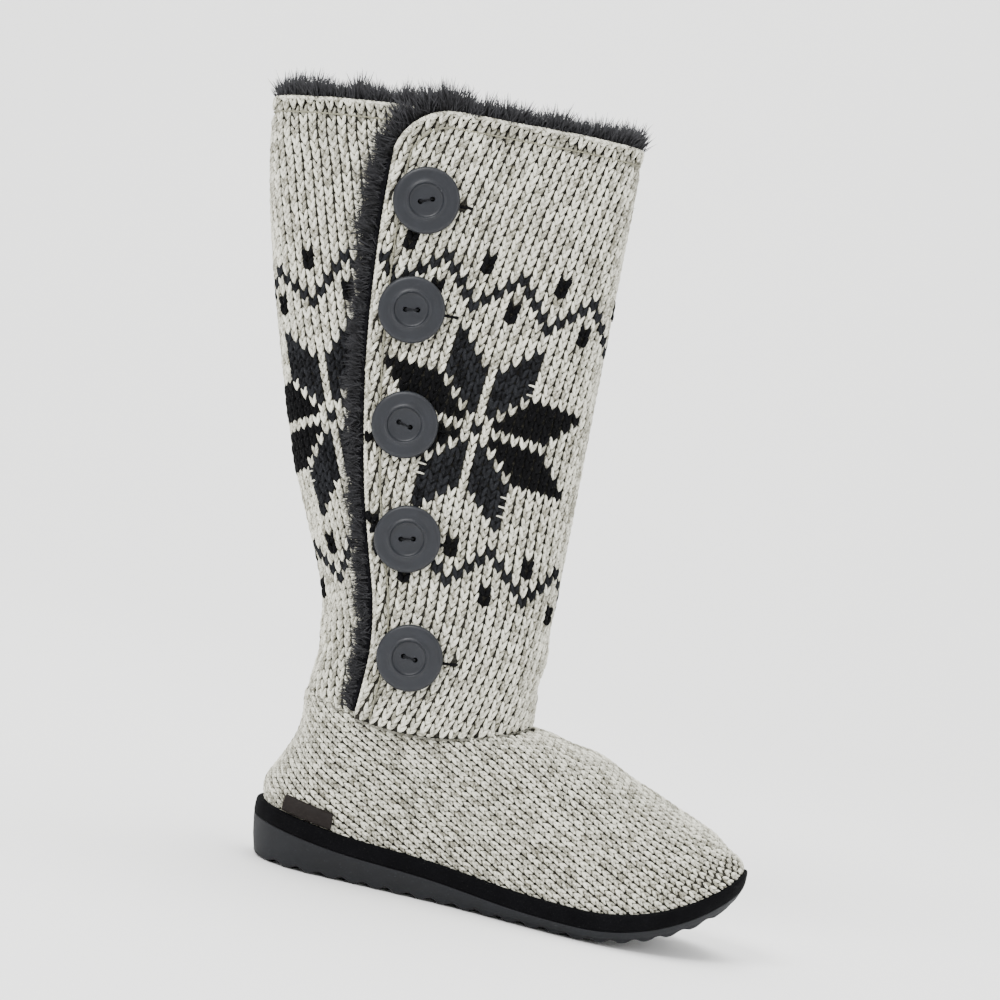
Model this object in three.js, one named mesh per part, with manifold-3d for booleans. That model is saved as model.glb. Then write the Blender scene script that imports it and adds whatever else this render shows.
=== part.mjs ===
// A knitted mid-calf mukluk boot for the right foot, standing empty on its sole.
// Millimetres, +Z up, toe to +X, buttoned outer side to -Y.
// Lengths along the foot are measured from the back of the heel band.

import * as THREE from 'three';
import Module from 'manifold-3d';
import { mergeVertices } from 'three/addons/utils/BufferGeometryUtils.js';

const wasm = await Module();
wasm.setup();

// Sole sizes
const soleLength = 264;
const ballWidth = 98;
const heelSoleThickness = 21.5;
const foreSoleThickness = 7;
const toeSpringRadius = 130;
const toeSpringStart = 177;
const soleFlare = 4;
const soleCorner = 2.6;
const treadPitch = 12;
const treadGrooveWidth = 6;
const treadGrooveDepth = 1.8;

// Platform with its felt band, and the pad inside
const bandHeight = 9.3;
const bandRounding = 2.5;
const rimWidth = 5;
const rimDepth = 5.2;
const insoleThickness = 4;
const insoleEdge = 1.2;

// Knitted walls
const knitWall = 3;
const clearance = 0.3;

// Ankle seam, where the leg meets the foot
const ankleLength = 120;
const ankleWidth = 84;
const ankleCentre = 74;
const ankleHeight = 95;
const seamRise = 3;
const seamDip = 11;

// Leg
const shaftHeight = 306;
const shaftLean = THREE.MathUtils.degToRad(9.1);
const collarLength = 196;
const collarWidth = 66;
const collarRise = 7.7;
const collarArch = 3;
const collarSquareness = 2.3;

// Button flap
const overlapWidth = 35;
const flapRaiseTop = 6;
const flapRaiseBottom = 3.5;
const flapEaseWidth = 24;
const flapCornerRadius = 28;

// Pile lining where it shows
const furThickness = 4.5;
const furUnderFlap = 1.6;
const furReach = 10.5;
const furDepth = 22;
const placketFurWidth = 8.5;
const lockHeight = 1.8;
const lockPitch = 9;
const pileGap = 0.6;

// Buttons
const buttonDiameter = 35;
const buttonThickness = 4.6;
const buttonRingDiameter = 20;
const buttonWellDiameter = 16.5;
const buttonHoleDiameter = 2.3;
const buttonHoleSpacing = 6.5;
const buttonFromEdge = 21.5;
const buttonholeLength = 29;
const buttonholeWidth = 2.2;
const threadDiameter = 1.5;
const buttonSeat = 0.5;

// Label above the band
const labelLength = 28;
const labelHeight = 8.5;
const labelThickness = 1.2;
const labelFromHeel = 15;

// Fineness of the faceted surfaces
const soleSteps = 26;
const footSteps = 26;
const shaftRows = 12;
const shaftMainColumns = 26;
const buttonSides = 20;

// Half width and sideways shift of the sole, as shares of the ball width, along shares of its length
const soleOutline = [
  { at: 0, half: 0, shift: 0 },
  { at: 0.02, half: 0.192, shift: 0 },
  { at: 0.05, half: 0.285, shift: 0 },
  { at: 0.1, half: 0.354, shift: 0 },
  { at: 0.16, half: 0.368, shift: -0.003 },
  { at: 0.28, half: 0.352, shift: -0.02 },
  { at: 0.42, half: 0.352, shift: -0.038 },
  { at: 0.55, half: 0.425, shift: -0.028 },
  { at: 0.65, half: 0.482, shift: -0.012 },
  { at: 0.73, half: 0.5, shift: 0 },
  { at: 0.81, half: 0.47, shift: 0.012 },
  { at: 0.89, half: 0.392, shift: 0.03 },
  { at: 0.95, half: 0.284, shift: 0.044 },
  { at: 0.985, half: 0.162, shift: 0.052 },
  { at: 1, half: 0, shift: 0.056 },
];

// Thickness of the sole over its forepart, as a share of the wedge, along shares of the length
const soleWedge = [
  { at: 0, share: 1 },
  { at: 0.106, share: 0.724 },
  { at: 0.2, share: 0.517 },
  { at: 0.367, share: 0.345 },
  { at: 0.534, share: 0.07 },
  { at: 0.65, share: 0 },
  { at: 1, share: 0 },
];

// How far the foot's wall has gone in and up on its way from sole to ankle, at heel, side and toe
const lastRows = [
  { heelIn: 0, heelUp: 0, sideIn: 0, sideUp: 0, toeIn: 0, toeUp: 0 },
  { heelIn: 0, heelUp: 0.09, sideIn: 0, sideUp: 0.09, toeIn: 0.01, toeUp: 0.1 },
  { heelIn: -0.1, heelUp: 0.16, sideIn: 0.03, sideUp: 0.17, toeIn: 0.043, toeUp: 0.237 },
  { heelIn: -0.17, heelUp: 0.25, sideIn: 0.09, sideUp: 0.27, toeIn: 0.116, toeUp: 0.385 },
  { heelIn: 0.05, heelUp: 0.34, sideIn: 0.18, sideUp: 0.37, toeIn: 0.212, toeUp: 0.479 },
  { heelIn: 0.36, heelUp: 0.43, sideIn: 0.29, sideUp: 0.47, toeIn: 0.309, toeUp: 0.559 },
  { heelIn: 0.68, heelUp: 0.53, sideIn: 0.41, sideUp: 0.57, toeIn: 0.405, toeUp: 0.642 },
  { heelIn: 0.92, heelUp: 0.62, sideIn: 0.53, sideUp: 0.66, toeIn: 0.502, toeUp: 0.728 },
  { heelIn: 1.05, heelUp: 0.74, sideIn: 0.68, sideUp: 0.77, toeIn: 0.646, toeUp: 0.848 },
  { heelIn: 1.03, heelUp: 0.86, sideIn: 0.83, sideUp: 0.88, toeIn: 0.791, toeUp: 0.938 },
  { heelIn: 1, heelUp: 0.93, sideIn: 0.92, sideUp: 0.94, toeIn: 0.887, toeUp: 0.978 },
  { heelIn: 1, heelUp: 1, sideIn: 1, sideUp: 1, toeIn: 1, toeUp: 1 },
];

// Length and width of the leg between ankle and collar, as shares of the growth between them,
// and the place of the flap's edge as a share of the length from the back
const legRows = [
  { at: 0, length: 0, width: 0, edge: 0.24 },
  { at: 0.12, length: -0.01, width: 0.06, edge: 0.25 },
  { at: 0.2, length: 0.07, width: 0.14, edge: 0.26 },
  { at: 0.28, length: 0.21, width: 0.24, edge: 0.266 },
  { at: 0.39, length: 0.4, width: 0.4, edge: 0.275 },
  { at: 0.585, length: 0.65, width: 0.62, edge: 0.29 },
  { at: 0.78, length: 0.86, width: 0.82, edge: 0.32 },
  { at: 0.92, length: 0.97, width: 0.94, edge: 0.343 },
  { at: 1, length: 1, width: 1, edge: 0.354 },
];

// Height of each button as a share of the leg's height
const buttonHeights = [0.85, 0.674, 0.491, 0.312, 0.125];

const materials = {
  foam: new THREE.MeshStandardMaterial({ color: 0x33363a, roughness: 0.85, metalness: 0 }),
  felt: new THREE.MeshStandardMaterial({ color: 0x17191c, roughness: 0.95, metalness: 0 }),
  pad: new THREE.MeshStandardMaterial({ color: 0x2a2a2e, roughness: 0.95, metalness: 0 }),
  knit: new THREE.MeshStandardMaterial({ color: 0xc9c8c0, roughness: 0.95, metalness: 0 }),
  pile: new THREE.MeshStandardMaterial({ color: 0x2d2d32, roughness: 1, metalness: 0 }),
  button: new THREE.MeshStandardMaterial({ color: 0x43464e, roughness: 0.45, metalness: 0 }),
  thread: new THREE.MeshStandardMaterial({ color: 0x303238, roughness: 0.9, metalness: 0 }),
  label: new THREE.MeshStandardMaterial({ color: 0x2b2220, roughness: 0.9, metalness: 0 }),
};

const lerp = THREE.MathUtils.lerp;
const clamp = THREE.MathUtils.clamp;

function smooth(value) {
  const t = clamp(value, 0, 1);
  return t * t * (3 - 2 * t);
}

// Smooth curve through one column of a table
function read(table, column, at) {
  const last = table.length - 1;
  const x = clamp(at, table[0].at, table[last].at);
  let i = 0;
  while (i < last - 1 && table[i + 1].at < x) {
    i += 1;
  }
  const slope = (k) => {
    const before = table[Math.max(k - 1, 0)];
    const after = table[Math.min(k + 1, last)];
    return (after[column] - before[column]) / (after.at - before.at);
  };
  const span = table[i + 1].at - table[i].at;
  const t = (x - table[i].at) / span;
  const t2 = t * t;
  const t3 = t2 * t;
  return (2 * t3 - 3 * t2 + 1) * table[i][column] + (t3 - 2 * t2 + t) * span * slope(i)
    + (3 * t2 - 2 * t3) * table[i + 1][column] + (t3 - t2) * span * slope(i + 1);
}

// The outline's table by angle, so that heel and toe come out round
const outlineByAngle = soleOutline.map((row) => ({
  at: Math.acos(1 - 2 * row.at),
  half: row.half,
  shift: row.shift,
}));

// A point of the sole's outline: angle 0 is the heel, pi the toe, the outer side between them
function outlinePoint(angle) {
  const folded = angle <= Math.PI ? angle : 2 * Math.PI - angle;
  const side = angle <= Math.PI ? -1 : 1;
  const half = read(outlineByAngle, 'half', folded) * ballWidth;
  const shift = read(outlineByAngle, 'shift', folded) * ballWidth;
  return new THREE.Vector2(soleLength * (1 - Math.cos(angle)) / 2, shift + side * half);
}

function insetPoint(angle, inset) {
  const full = 2 * Math.PI;
  const step = 0.02;
  const ahead = outlinePoint((angle + step) % full);
  const behind = outlinePoint((angle - step + full) % full);
  const along = ahead.sub(behind).normalize();
  const point = outlinePoint(angle);
  return new THREE.Vector2(point.x - along.y * inset, point.y + along.x * inset);
}

// Heights of the sole's layers at a length along the foot
function treadHeight(x) {
  const past = Math.max(0, x - toeSpringStart);
  return toeSpringRadius - Math.sqrt(toeSpringRadius ** 2 - past ** 2);
}

function soleTop(x) {
  const wedge = read(soleWedge, 'share', x / soleLength);
  return treadHeight(x) + foreSoleThickness + (heelSoleThickness - foreSoleThickness) * wedge;
}

function bandTop(x) {
  return soleTop(x) + bandHeight;
}

function trayFloor(x) {
  return bandTop(x) - rimDepth;
}

function outlineRing(inset, height) {
  const ring = [];
  for (let i = 0; i < 2 * soleSteps; i += 1) {
    const point = insetPoint((Math.PI * i) / soleSteps, inset);
    ring.push(new THREE.Vector3(point.x, point.y, height(point.x)));
  }
  return ring;
}

// Faces between two rows of points
function band(faces, rows, r, columns, closed) {
  const last = closed ? columns : columns - 1;
  for (let c = 0; c < last; c += 1) {
    const next = (c + 1) % columns;
    const a = r * columns + c;
    const b = r * columns + next;
    const d = (r + 1) * columns + c;
    const e = (r + 1) * columns + next;
    faces.push([a, b, e], [a, e, d]);
  }
}

// Strips across a ring, from its outer side to its inner side
function cap(faces, start, count, flip) {
  const half = count / 2;
  const put = (a, b, c) => faces.push(flip ? [a, c, b] : [a, b, c]);
  for (let i = 0; i < half; i += 1) {
    const a = start + i;
    const b = start + i + 1;
    const c = start + ((count - i - 1) % count);
    const d = start + ((count - i) % count);
    if (i > 0) {
      put(a, c, d);
    }
    if (i < half - 1) {
      put(a, b, c);
    }
  }
}

// A closed geometry from points and faces, turned so that its faces point out
function closedGeometry(points, faces) {
  let volume = 0;
  const cross = new THREE.Vector3();
  for (const [a, b, c] of faces) {
    volume += points[a].dot(cross.crossVectors(points[b], points[c]));
  }
  const index = [];
  for (const [a, b, c] of faces) {
    index.push(...(volume > 0 ? [a, b, c] : [a, c, b]));
  }
  const geometry = new THREE.BufferGeometry();
  const flat = points.flatMap((p) => [p.x, p.y, p.z]);
  geometry.setAttribute('position', new THREE.Float32BufferAttribute(flat, 3));
  geometry.setIndex(index);
  return geometry;
}

// A solid stacked from rings of equal count, closed across the first and the last
function stack(rings) {
  const columns = rings[0].length;
  const faces = [];
  for (let r = 0; r < rings.length - 1; r += 1) {
    band(faces, rings, r, columns, true);
  }
  cap(faces, 0, columns, true);
  cap(faces, (rings.length - 1) * columns, columns, false);
  return closedGeometry(rings.flat(), faces);
}

// A wall between an outer and an inner grid of points, closed round its edges
function wall(outer, inner, closed) {
  const rows = outer.length;
  const columns = outer[0].length;
  const faces = [];
  for (let r = 0; r < rows - 1; r += 1) {
    band(faces, outer, r, columns, closed);
  }
  const offset = rows * columns;
  const skin = faces.slice();
  for (const [a, b, c] of skin) {
    faces.push([a + offset, c + offset, b + offset]);
  }
  const edge = (a, b) => faces.push([a, a + offset, b + offset], [a, b + offset, b]);
  const last = closed ? columns : columns - 1;
  for (let c = 0; c < last; c += 1) {
    const next = (c + 1) % columns;
    edge(c, next);
    edge((rows - 1) * columns + next, (rows - 1) * columns + c);
  }
  if (!closed) {
    for (let r = 0; r < rows - 1; r += 1) {
      edge((r + 1) * columns, r * columns);
      edge(r * columns + columns - 1, (r + 1) * columns + columns - 1);
    }
  }
  return closedGeometry([...outer.flat(), ...inner.flat()], faces);
}

// A solid swept through a row of equal loops, closed at both ends
function sweep(loops, profile) {
  const columns = loops[0].length;
  const faces = [];
  for (let r = 0; r < loops.length - 1; r += 1) {
    band(faces, loops, r, columns, true);
  }
  const ends = THREE.ShapeUtils.triangulateShape(profile, []);
  const offset = (loops.length - 1) * columns;
  const turned = THREE.ShapeUtils.area(profile) > 0;
  for (const [a, b, c] of ends) {
    const near = turned ? [a, c, b] : [a, b, c];
    const far = turned ? [a, b, c] : [a, c, b];
    faces.push(near, far.map((k) => k + offset));
  }
  return closedGeometry(loops.flat(), faces);
}

function toSolid(geometry) {
  const bare = geometry.clone();
  bare.deleteAttribute('normal');
  bare.deleteAttribute('uv');
  const merged = mergeVertices(bare, 1e-5);
  return new wasm.Manifold(new wasm.Mesh({
    numProp: 3,
    vertProperties: new Float32Array(merged.attributes.position.array),
    triVerts: new Uint32Array(merged.index.array),
  }));
}

function toGeometry(solid) {
  const mesh = solid.getMesh();
  const geometry = new THREE.BufferGeometry();
  geometry.setAttribute('position', new THREE.Float32BufferAttribute(mesh.vertProperties, 3));
  geometry.setIndex([...mesh.triVerts]);
  return geometry;
}

const boot = new THREE.Group();

function add(name, geometry, material) {
  const mesh = new THREE.Mesh(geometry, material.clone());
  mesh.name = name;
  boot.add(mesh);
  return mesh;
}

// Outsole: a flared wedge with rounded bottom edge, then a groove cut across for each ripple
function makeOutsole() {
  const lifted = (share) => (x) => lerp(treadHeight(x), soleTop(x), share);
  const over = (rise) => (x) => treadHeight(x) + rise;
  let solid = toSolid(stack([
    outlineRing(soleFlare + soleCorner, over(0)),
    outlineRing(soleFlare + 0.3 * soleCorner, over(0.3 * soleCorner)),
    outlineRing(soleFlare, over(soleCorner)),
    outlineRing(0.3 * soleFlare, lifted(0.7)),
    outlineRing(0, lifted(1)),
  ]));
  const half = treadGrooveWidth / 2;
  const section = new THREE.Shape();
  section.moveTo(-half, -treadGrooveDepth);
  section.lineTo(half, -treadGrooveDepth);
  section.lineTo(half, 0);
  section.lineTo(0.55 * half, 0.8 * treadGrooveDepth);
  section.lineTo(0, treadGrooveDepth);
  section.lineTo(-0.55 * half, 0.8 * treadGrooveDepth);
  section.lineTo(-half, 0);
  const length = 1.4 * ballWidth;
  const groove = new THREE.ExtrudeGeometry(section, { depth: length, bevelEnabled: false });
  groove.translate(0, 0, -length / 2);
  groove.rotateX(Math.PI / 2);
  const count = Math.floor((soleLength - 2 * treadPitch) / treadPitch);
  for (let i = 0; i < count; i += 1) {
    const x = (1.5 + i) * treadPitch;
    const slope = Math.asin(Math.max(0, x - toeSpringStart) / toeSpringRadius);
    const placed = groove.clone();
    placed.rotateY(-slope);
    placed.translate(x, 0, treadHeight(x));
    solid = solid.subtract(toSolid(placed));
  }
  return toGeometry(solid);
}

// Platform: a tray whose rim is the black band, with its top edge rounded
function makeMidsole() {
  const below = (drop) => (x) => bandTop(x) - drop;
  return stack([
    outlineRing(0, (x) => soleTop(x) + clearance),
    outlineRing(0, below(bandRounding)),
    outlineRing(0.3 * bandRounding, below(0.3 * bandRounding)),
    outlineRing(bandRounding, below(0)),
    outlineRing(0.85 * rimWidth, below(0.25 * bandRounding)),
    outlineRing(rimWidth, below(0.6 * bandRounding)),
    outlineRing(rimWidth, trayFloor),
  ]);
}

function makeInsole() {
  const inset = rimWidth + clearance + knitWall + 2 * clearance;
  const over = (rise) => (x) => trayFloor(x) + clearance + rise;
  return stack([
    outlineRing(inset, over(0)),
    outlineRing(inset, over(insoleThickness - insoleEdge)),
    outlineRing(inset + insoleEdge, over(insoleThickness)),
  ]);
}

// Height of the ankle seam and of the collar's edge, round the leg
function seamHeight(angle) {
  return ankleHeight - seamRise * Math.cos(angle) - seamDip * Math.sin(angle) ** 2;
}

function collarHeight(angle) {
  return ankleHeight + shaftHeight - collarRise * Math.cos(angle) + collarArch * Math.sin(angle) ** 2;
}

// A point of the foot's surface: angle round the last, row from the sole up to the ankle seam
function footPoint(angle, row) {
  const sole = insetPoint(angle, rimWidth + clearance);
  const low = trayFloor(sole.x) + clearance;
  const ankleX = ankleCentre - (ankleLength / 2) * Math.cos(angle);
  const ankleY = -(ankleWidth / 2) * Math.sin(angle);
  const folded = angle <= Math.PI ? angle : 2 * Math.PI - angle;
  const toe = smooth((folded / Math.PI - 0.5) / 0.25);
  const heel = 1 - smooth(folded / (0.3 * Math.PI));
  const side = 1 - toe - heel;
  const shares = (part) => lerp(
    lastRows[Math.floor(row)][part],
    lastRows[Math.min(Math.floor(row) + 1, lastRows.length - 1)][part],
    row - Math.floor(row),
  );
  const inward = heel * shares('heelIn') + side * shares('sideIn') + toe * shares('toeIn');
  const upward = heel * shares('heelUp') + side * shares('sideUp') + toe * shares('toeUp');
  const top = seamHeight(angle) - clearance;
  return new THREE.Vector3(
    lerp(sole.x, ankleX, inward),
    lerp(sole.y, ankleY, inward),
    lerp(low, top, upward),
  );
}

function footNormal(angle, row) {
  const full = 2 * Math.PI;
  const turn = 0.05;
  const lowRow = Math.max(row - 0.5, 0);
  const highRow = Math.min(row + 0.5, lastRows.length - 1);
  const round = footPoint((angle + turn) % full, row).sub(footPoint((angle - turn + full) % full, row));
  const rise = footPoint(angle, highRow).sub(footPoint(angle, lowRow));
  return round.cross(rise).normalize();
}

// Upper: a hollow wall, open underneath and at the ankle
function makeUpper() {
  const outer = [];
  const inner = [];
  const last = lastRows.length - 1;
  for (let r = 0; r <= last; r += 1) {
    const outerRow = [];
    const innerRow = [];
    for (let c = 0; c < 2 * footSteps; c += 1) {
      const angle = (Math.PI * c) / footSteps;
      const point = footPoint(angle, r);
      const normal = footNormal(angle, r);
      if (r === 0 || r === last) {
        normal.setZ(0).normalize();
      }
      outerRow.push(point);
      innerRow.push(point.clone().addScaledVector(normal, -knitWall));
    }
    outer.push(outerRow);
    inner.push(innerRow);
  }
  return wall(outer, inner, true);
}

// The front of the leg is a straight line from the ankle seam to the collar
const ankleFront = ankleCentre + ankleLength / 2;
const collarFront = ankleCentre - shaftHeight * Math.tan(shaftLean) + collarLength / 2;

// One level of the leg: its oval, measured from the flap's edge forward round the leg
const levelCache = new Map();

function legLevel(height) {
  const key = height.toFixed(5);
  if (!levelCache.has(key)) {
    const grow = read(legRows, 'length', height);
    const widen = read(legRows, 'width', height);
    const halfLength = lerp(ankleLength, collarLength, grow) / 2;
    const halfWidth = lerp(ankleWidth, collarWidth, widen) / 2;
    const power = 2 / lerp(2, collarSquareness, clamp(height, 0, 1));
    const front = lerp(ankleFront, collarFront, height);
    const centre = front - halfLength;
    const round = (value) => Math.sign(value) * Math.abs(value) ** power;
    const at = (angle) => new THREE.Vector2(
      centre - halfLength * round(Math.cos(angle)),
      -halfWidth * round(Math.sin(angle)),
    );
    const edgeShare = 1 - 2 * read(legRows, 'edge', height);
    const edgeAngle = Math.acos(edgeShare ** (1 / power));
    const steps = 360;
    const lengths = [0];
    let before = at(edgeAngle);
    for (let i = 1; i <= steps; i += 1) {
      const point = at(edgeAngle + (2 * Math.PI * i) / steps);
      lengths.push(lengths[i - 1] + point.distanceTo(before));
      before = point;
    }
    levelCache.set(key, { at, edgeAngle, steps, lengths, girth: lengths[steps] });
  }
  return levelCache.get(key);
}

function angleAt(level, distance) {
  const turns = Math.floor(distance / level.girth);
  const rest = distance - turns * level.girth;
  let i = 0;
  while (i < level.steps - 1 && level.lengths[i + 1] < rest) {
    i += 1;
  }
  const share = (rest - level.lengths[i]) / (level.lengths[i + 1] - level.lengths[i]);
  return level.edgeAngle + 2 * Math.PI * (turns + (i + share) / level.steps);
}

function distanceAt(level, angle) {
  const place = ((angle - level.edgeAngle) / (2 * Math.PI)) * level.steps;
  const i = clamp(Math.floor(place), 0, level.steps - 1);
  return lerp(level.lengths[i], level.lengths[i + 1], place - i);
}

// A point beside the leg: distance from the flap's edge, share of the height, way out from the oval
function legPoint(distance, height, out) {
  const level = legLevel(height);
  const angle = angleAt(level, distance);
  const step = 0.02;
  const along = level.at(angle + step).sub(level.at(angle - step)).normalize();
  const point = level.at(angle);
  return new THREE.Vector3(
    point.x + along.y * out,
    point.y - along.x * out,
    lerp(seamHeight(angle), collarHeight(angle), height),
  );
}

// How far the flap stands off the under layer
function flapRaise(distance, height) {
  const raise = lerp(flapRaiseBottom, flapRaiseTop, smooth(2 * height));
  return raise * (1 - smooth((distance - overlapWidth - 4) / flapEaseWidth));
}

function cornerDrop(distance) {
  const inside = Math.max(0, flapCornerRadius - distance);
  return flapCornerRadius - Math.sqrt(flapCornerRadius ** 2 - inside ** 2);
}

// Places of the columns round the leg: near the flap's edge by length, then by even angles, then
// along the under layer
const flapColumns = [0, 0.14, 0.36, 0.65, 1].map((share) => share * flapCornerRadius)
  .concat([1, 1.35, 1.75].map((share) => overlapWidth * share + 4));
const underColumns = 4;
const shaftColumns = flapColumns.length + shaftMainColumns + underColumns;

function columnDistance(column, height) {
  if (column < flapColumns.length) {
    return flapColumns[column];
  }
  const level = legLevel(height);
  const main = column - flapColumns.length + 1;
  if (main <= shaftMainColumns) {
    const start = angleAt(level, flapColumns[flapColumns.length - 1]);
    const end = level.edgeAngle + 2 * Math.PI;
    return distanceAt(level, lerp(start, end, main / shaftMainColumns));
  }
  return level.girth + (overlapWidth * (main - shaftMainColumns)) / underColumns;
}

// Shaft: one wall round the leg, which ends under its own flap, with a slot for each button
function makeShaft() {
  const outer = [];
  const inner = [];
  for (let r = 0; r <= shaftRows; r += 1) {
    const outerRow = [];
    const innerRow = [];
    for (let c = 0; c < shaftColumns; c += 1) {
      const highest = c < flapColumns.length ? 1 - cornerDrop(flapColumns[c]) / shaftHeight : 1;
      const height = (r / shaftRows) * highest;
      const distance = columnDistance(c, height);
      const raise = flapRaise(distance, height);
      outerRow.push(legPoint(distance, height, raise));
      innerRow.push(legPoint(distance, height, raise - knitWall));
    }
    outer.push(outerRow);
    inner.push(innerRow);
  }
  let solid = toSolid(wall(outer, inner, false));
  for (const height of buttonHeights) {
    solid = solid.subtract(toSolid(buttonholeCutter(height)));
  }
  return toGeometry(solid);
}

// The slot follows the flap's own curve, and stops between the flap and the under layer
function buttonholeCutter(height) {
  const steps = 8;
  const outer = [];
  const inner = [];
  const start = buttonFromEdge - buttonHoleSpacing / 2 - threadDiameter;
  for (const side of [-0.5, 0.5]) {
    const level = height + (side * buttonholeWidth) / shaftHeight;
    const outerRow = [];
    const innerRow = [];
    for (let i = 0; i <= steps; i += 1) {
      const distance = start + (buttonholeLength * i) / steps;
      const raise = flapRaise(distance, level);
      const gap = Math.max((flapRaise(0, level) - knitWall) / 2, clearance / 2);
      outerRow.push(legPoint(distance, level, raise + knitWall));
      innerRow.push(legPoint(distance, level, raise - knitWall - gap));
    }
    outer.push(outerRow);
    inner.push(innerRow);
  }
  return wall(outer, inner, false);
}

// A point beside the flap's straight edge, on the chords between the shaft's own rows
function edgePoint(away, height, outAt) {
  const highest = 1 - flapCornerRadius / shaftHeight;
  const place = (height / highest) * shaftRows;
  const row = Math.min(Math.floor(place), shaftRows - 1);
  const low = (row / shaftRows) * highest;
  const high = ((row + 1) / shaftRows) * highest;
  return legPoint(-away, low, outAt(low)).lerp(legPoint(-away, high, outAt(high)), place - row);
}

// Height of one lock of pile, tall and short by turns with a slow swell
function lock(i) {
  const beat = i % 2 === 0 ? 1 : -1;
  return lockHeight * (beat + 0.5 * Math.sin(2.4 * i));
}

// Collar fur: pile inside the leg's top, standing above the edge in locks
function makeCollarFur() {
  const back = knitWall + pileGap;
  const sectionAt = (column, reach, nudge) => {
    const thick = lerp(furUnderFlap, furThickness, smooth(
      (columnDistance(column, 1) - overlapWidth - 4) / flapEaseWidth,
    ));
    return [
      [back, -furDepth],
      [back, clearance],
      [1, clearance],
      [0.8, 0.8 * reach],
      [knitWall, reach],
      [back + thick, 0.5 * reach],
      [back + thick, -furDepth],
    ].map(([deep, rise]) => {
      const height = 1 + rise / shaftHeight;
      const distance = columnDistance(column, Math.min(height, 1)) + nudge;
      return legPoint(distance, height, flapRaise(distance, 1) - deep);
    });
  };
  const loops = [];
  const first = flapColumns.indexOf(flapCornerRadius);
  const last = shaftColumns - 1;
  for (let column = first; column <= last; column += 1) {
    const nudge = column === first ? 3 * clearance : 0;
    loops.push(sectionAt(column, furReach + lock(loops.length), nudge));
    if (column < last) {
      const reach = furReach + lock(loops.length);
      const near = sectionAt(column, reach, nudge);
      const far = sectionAt(column + 1, reach, 0);
      loops.push(near.map((point, i) => point.lerp(far[i], 0.5)));
    }
  }
  const profile = [[3, -9], [3, 0], [1, 0], [1, 8], [3, 10], [7, 5], [7, -9]]
    .map(([x, y]) => new THREE.Vector2(x, y));
  return sweep(loops, profile);
}

// Placket fur: pile that shows past the flap's edge, round its corner and down to the ankle
function makePlacketFur() {
  const turns = 6;
  const low = 0.012;
  const path = [];
  for (let i = 0; i <= turns; i += 1) {
    const turn = (Math.PI / 2) * (i / turns);
    path.push({
      distance: flapCornerRadius * (1 - Math.sin(turn)),
      height: 1 - (flapCornerRadius * (1 - Math.cos(turn))) / shaftHeight,
      sideways: -Math.sin(turn),
      upward: Math.cos(turn),
    });
  }
  const top = path[turns].height;
  const straight = Math.round(((top - low) * shaftHeight) / lockPitch);
  for (let i = 1; i <= straight; i += 1) {
    path.push({ distance: 0, height: lerp(top, low, i / straight), sideways: -1, upward: 0 });
  }
  const loops = path.map(({ distance, height, sideways, upward }, i) => {
    const width = placketFurWidth + lock(i);
    const section = [
      { away: clearance, rise: 0, flat: pileGap },
      { away: clearance, rise: 0.85, flat: 0 },
      { away: 0.5 * width, rise: 0.75, flat: 0 },
      { away: width, rise: 0, flat: 2.4 * pileGap },
      { away: width, rise: 0, flat: pileGap },
    ];
    return section.map(({ away, rise, flat }) => {
      const outAt = (level) => rise * flapRaise(0, level) + flat;
      if (upward === 0) {
        return edgePoint(away, height, outAt);
      }
      const level = height + (upward * away) / shaftHeight;
      return legPoint(distance + sideways * away, level, outAt(level));
    });
  });
  const profile = [[0, 0], [0, 5], [4, 4], [8, 1], [8, 0]].map(([x, y]) => new THREE.Vector2(x, y));
  return sweep(loops, profile);
}

// The frame of the flap's outside where a button sits: along the leg's girth, up, and out
function buttonFrame(height) {
  const at = (distance, level) => legPoint(distance, level, flapRaise(distance, level));
  const small = 1;
  const rise = small / shaftHeight;
  const along = at(buttonFromEdge + small, height).sub(at(buttonFromEdge - small, height)).normalize();
  const up = at(buttonFromEdge, height + rise).sub(at(buttonFromEdge, height - rise));
  const out = along.clone().cross(up).normalize();
  const upright = out.clone().cross(along);
  const frame = new THREE.Matrix4().makeBasis(along, upright, out);
  return frame.setPosition(at(buttonFromEdge, height));
}

function makeButton() {
  const outer = buttonDiameter / 2;
  const ring = buttonRingDiameter / 2;
  const well = buttonWellDiameter / 2;
  const thick = buttonThickness;
  const profile = [
    [0, 0],
    [0.82 * outer, 0],
    [0.96 * outer, 0.25 * thick],
    [outer, 0.5 * thick],
    [0.97 * outer, 0.78 * thick],
    [0.88 * outer, 0.93 * thick],
    [1.05 * ring, 0.88 * thick],
    [ring, thick],
    [lerp(ring, well, 0.6), thick],
    [well, 0.7 * thick],
    [0, 0.65 * thick],
  ].map(([x, y]) => new THREE.Vector2(x, y));
  const disc = new THREE.LatheGeometry(profile, buttonSides);
  disc.rotateX(Math.PI / 2);
  let solid = toSolid(disc);
  for (const side of [-0.5, 0.5]) {
    const hole = new THREE.CylinderGeometry(buttonHoleDiameter / 2, buttonHoleDiameter / 2, 3 * thick, 8);
    hole.rotateX(Math.PI / 2);
    hole.translate(side * buttonHoleSpacing, 0, thick / 2);
    solid = solid.subtract(toSolid(hole));
  }
  return toGeometry(solid);
}

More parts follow.
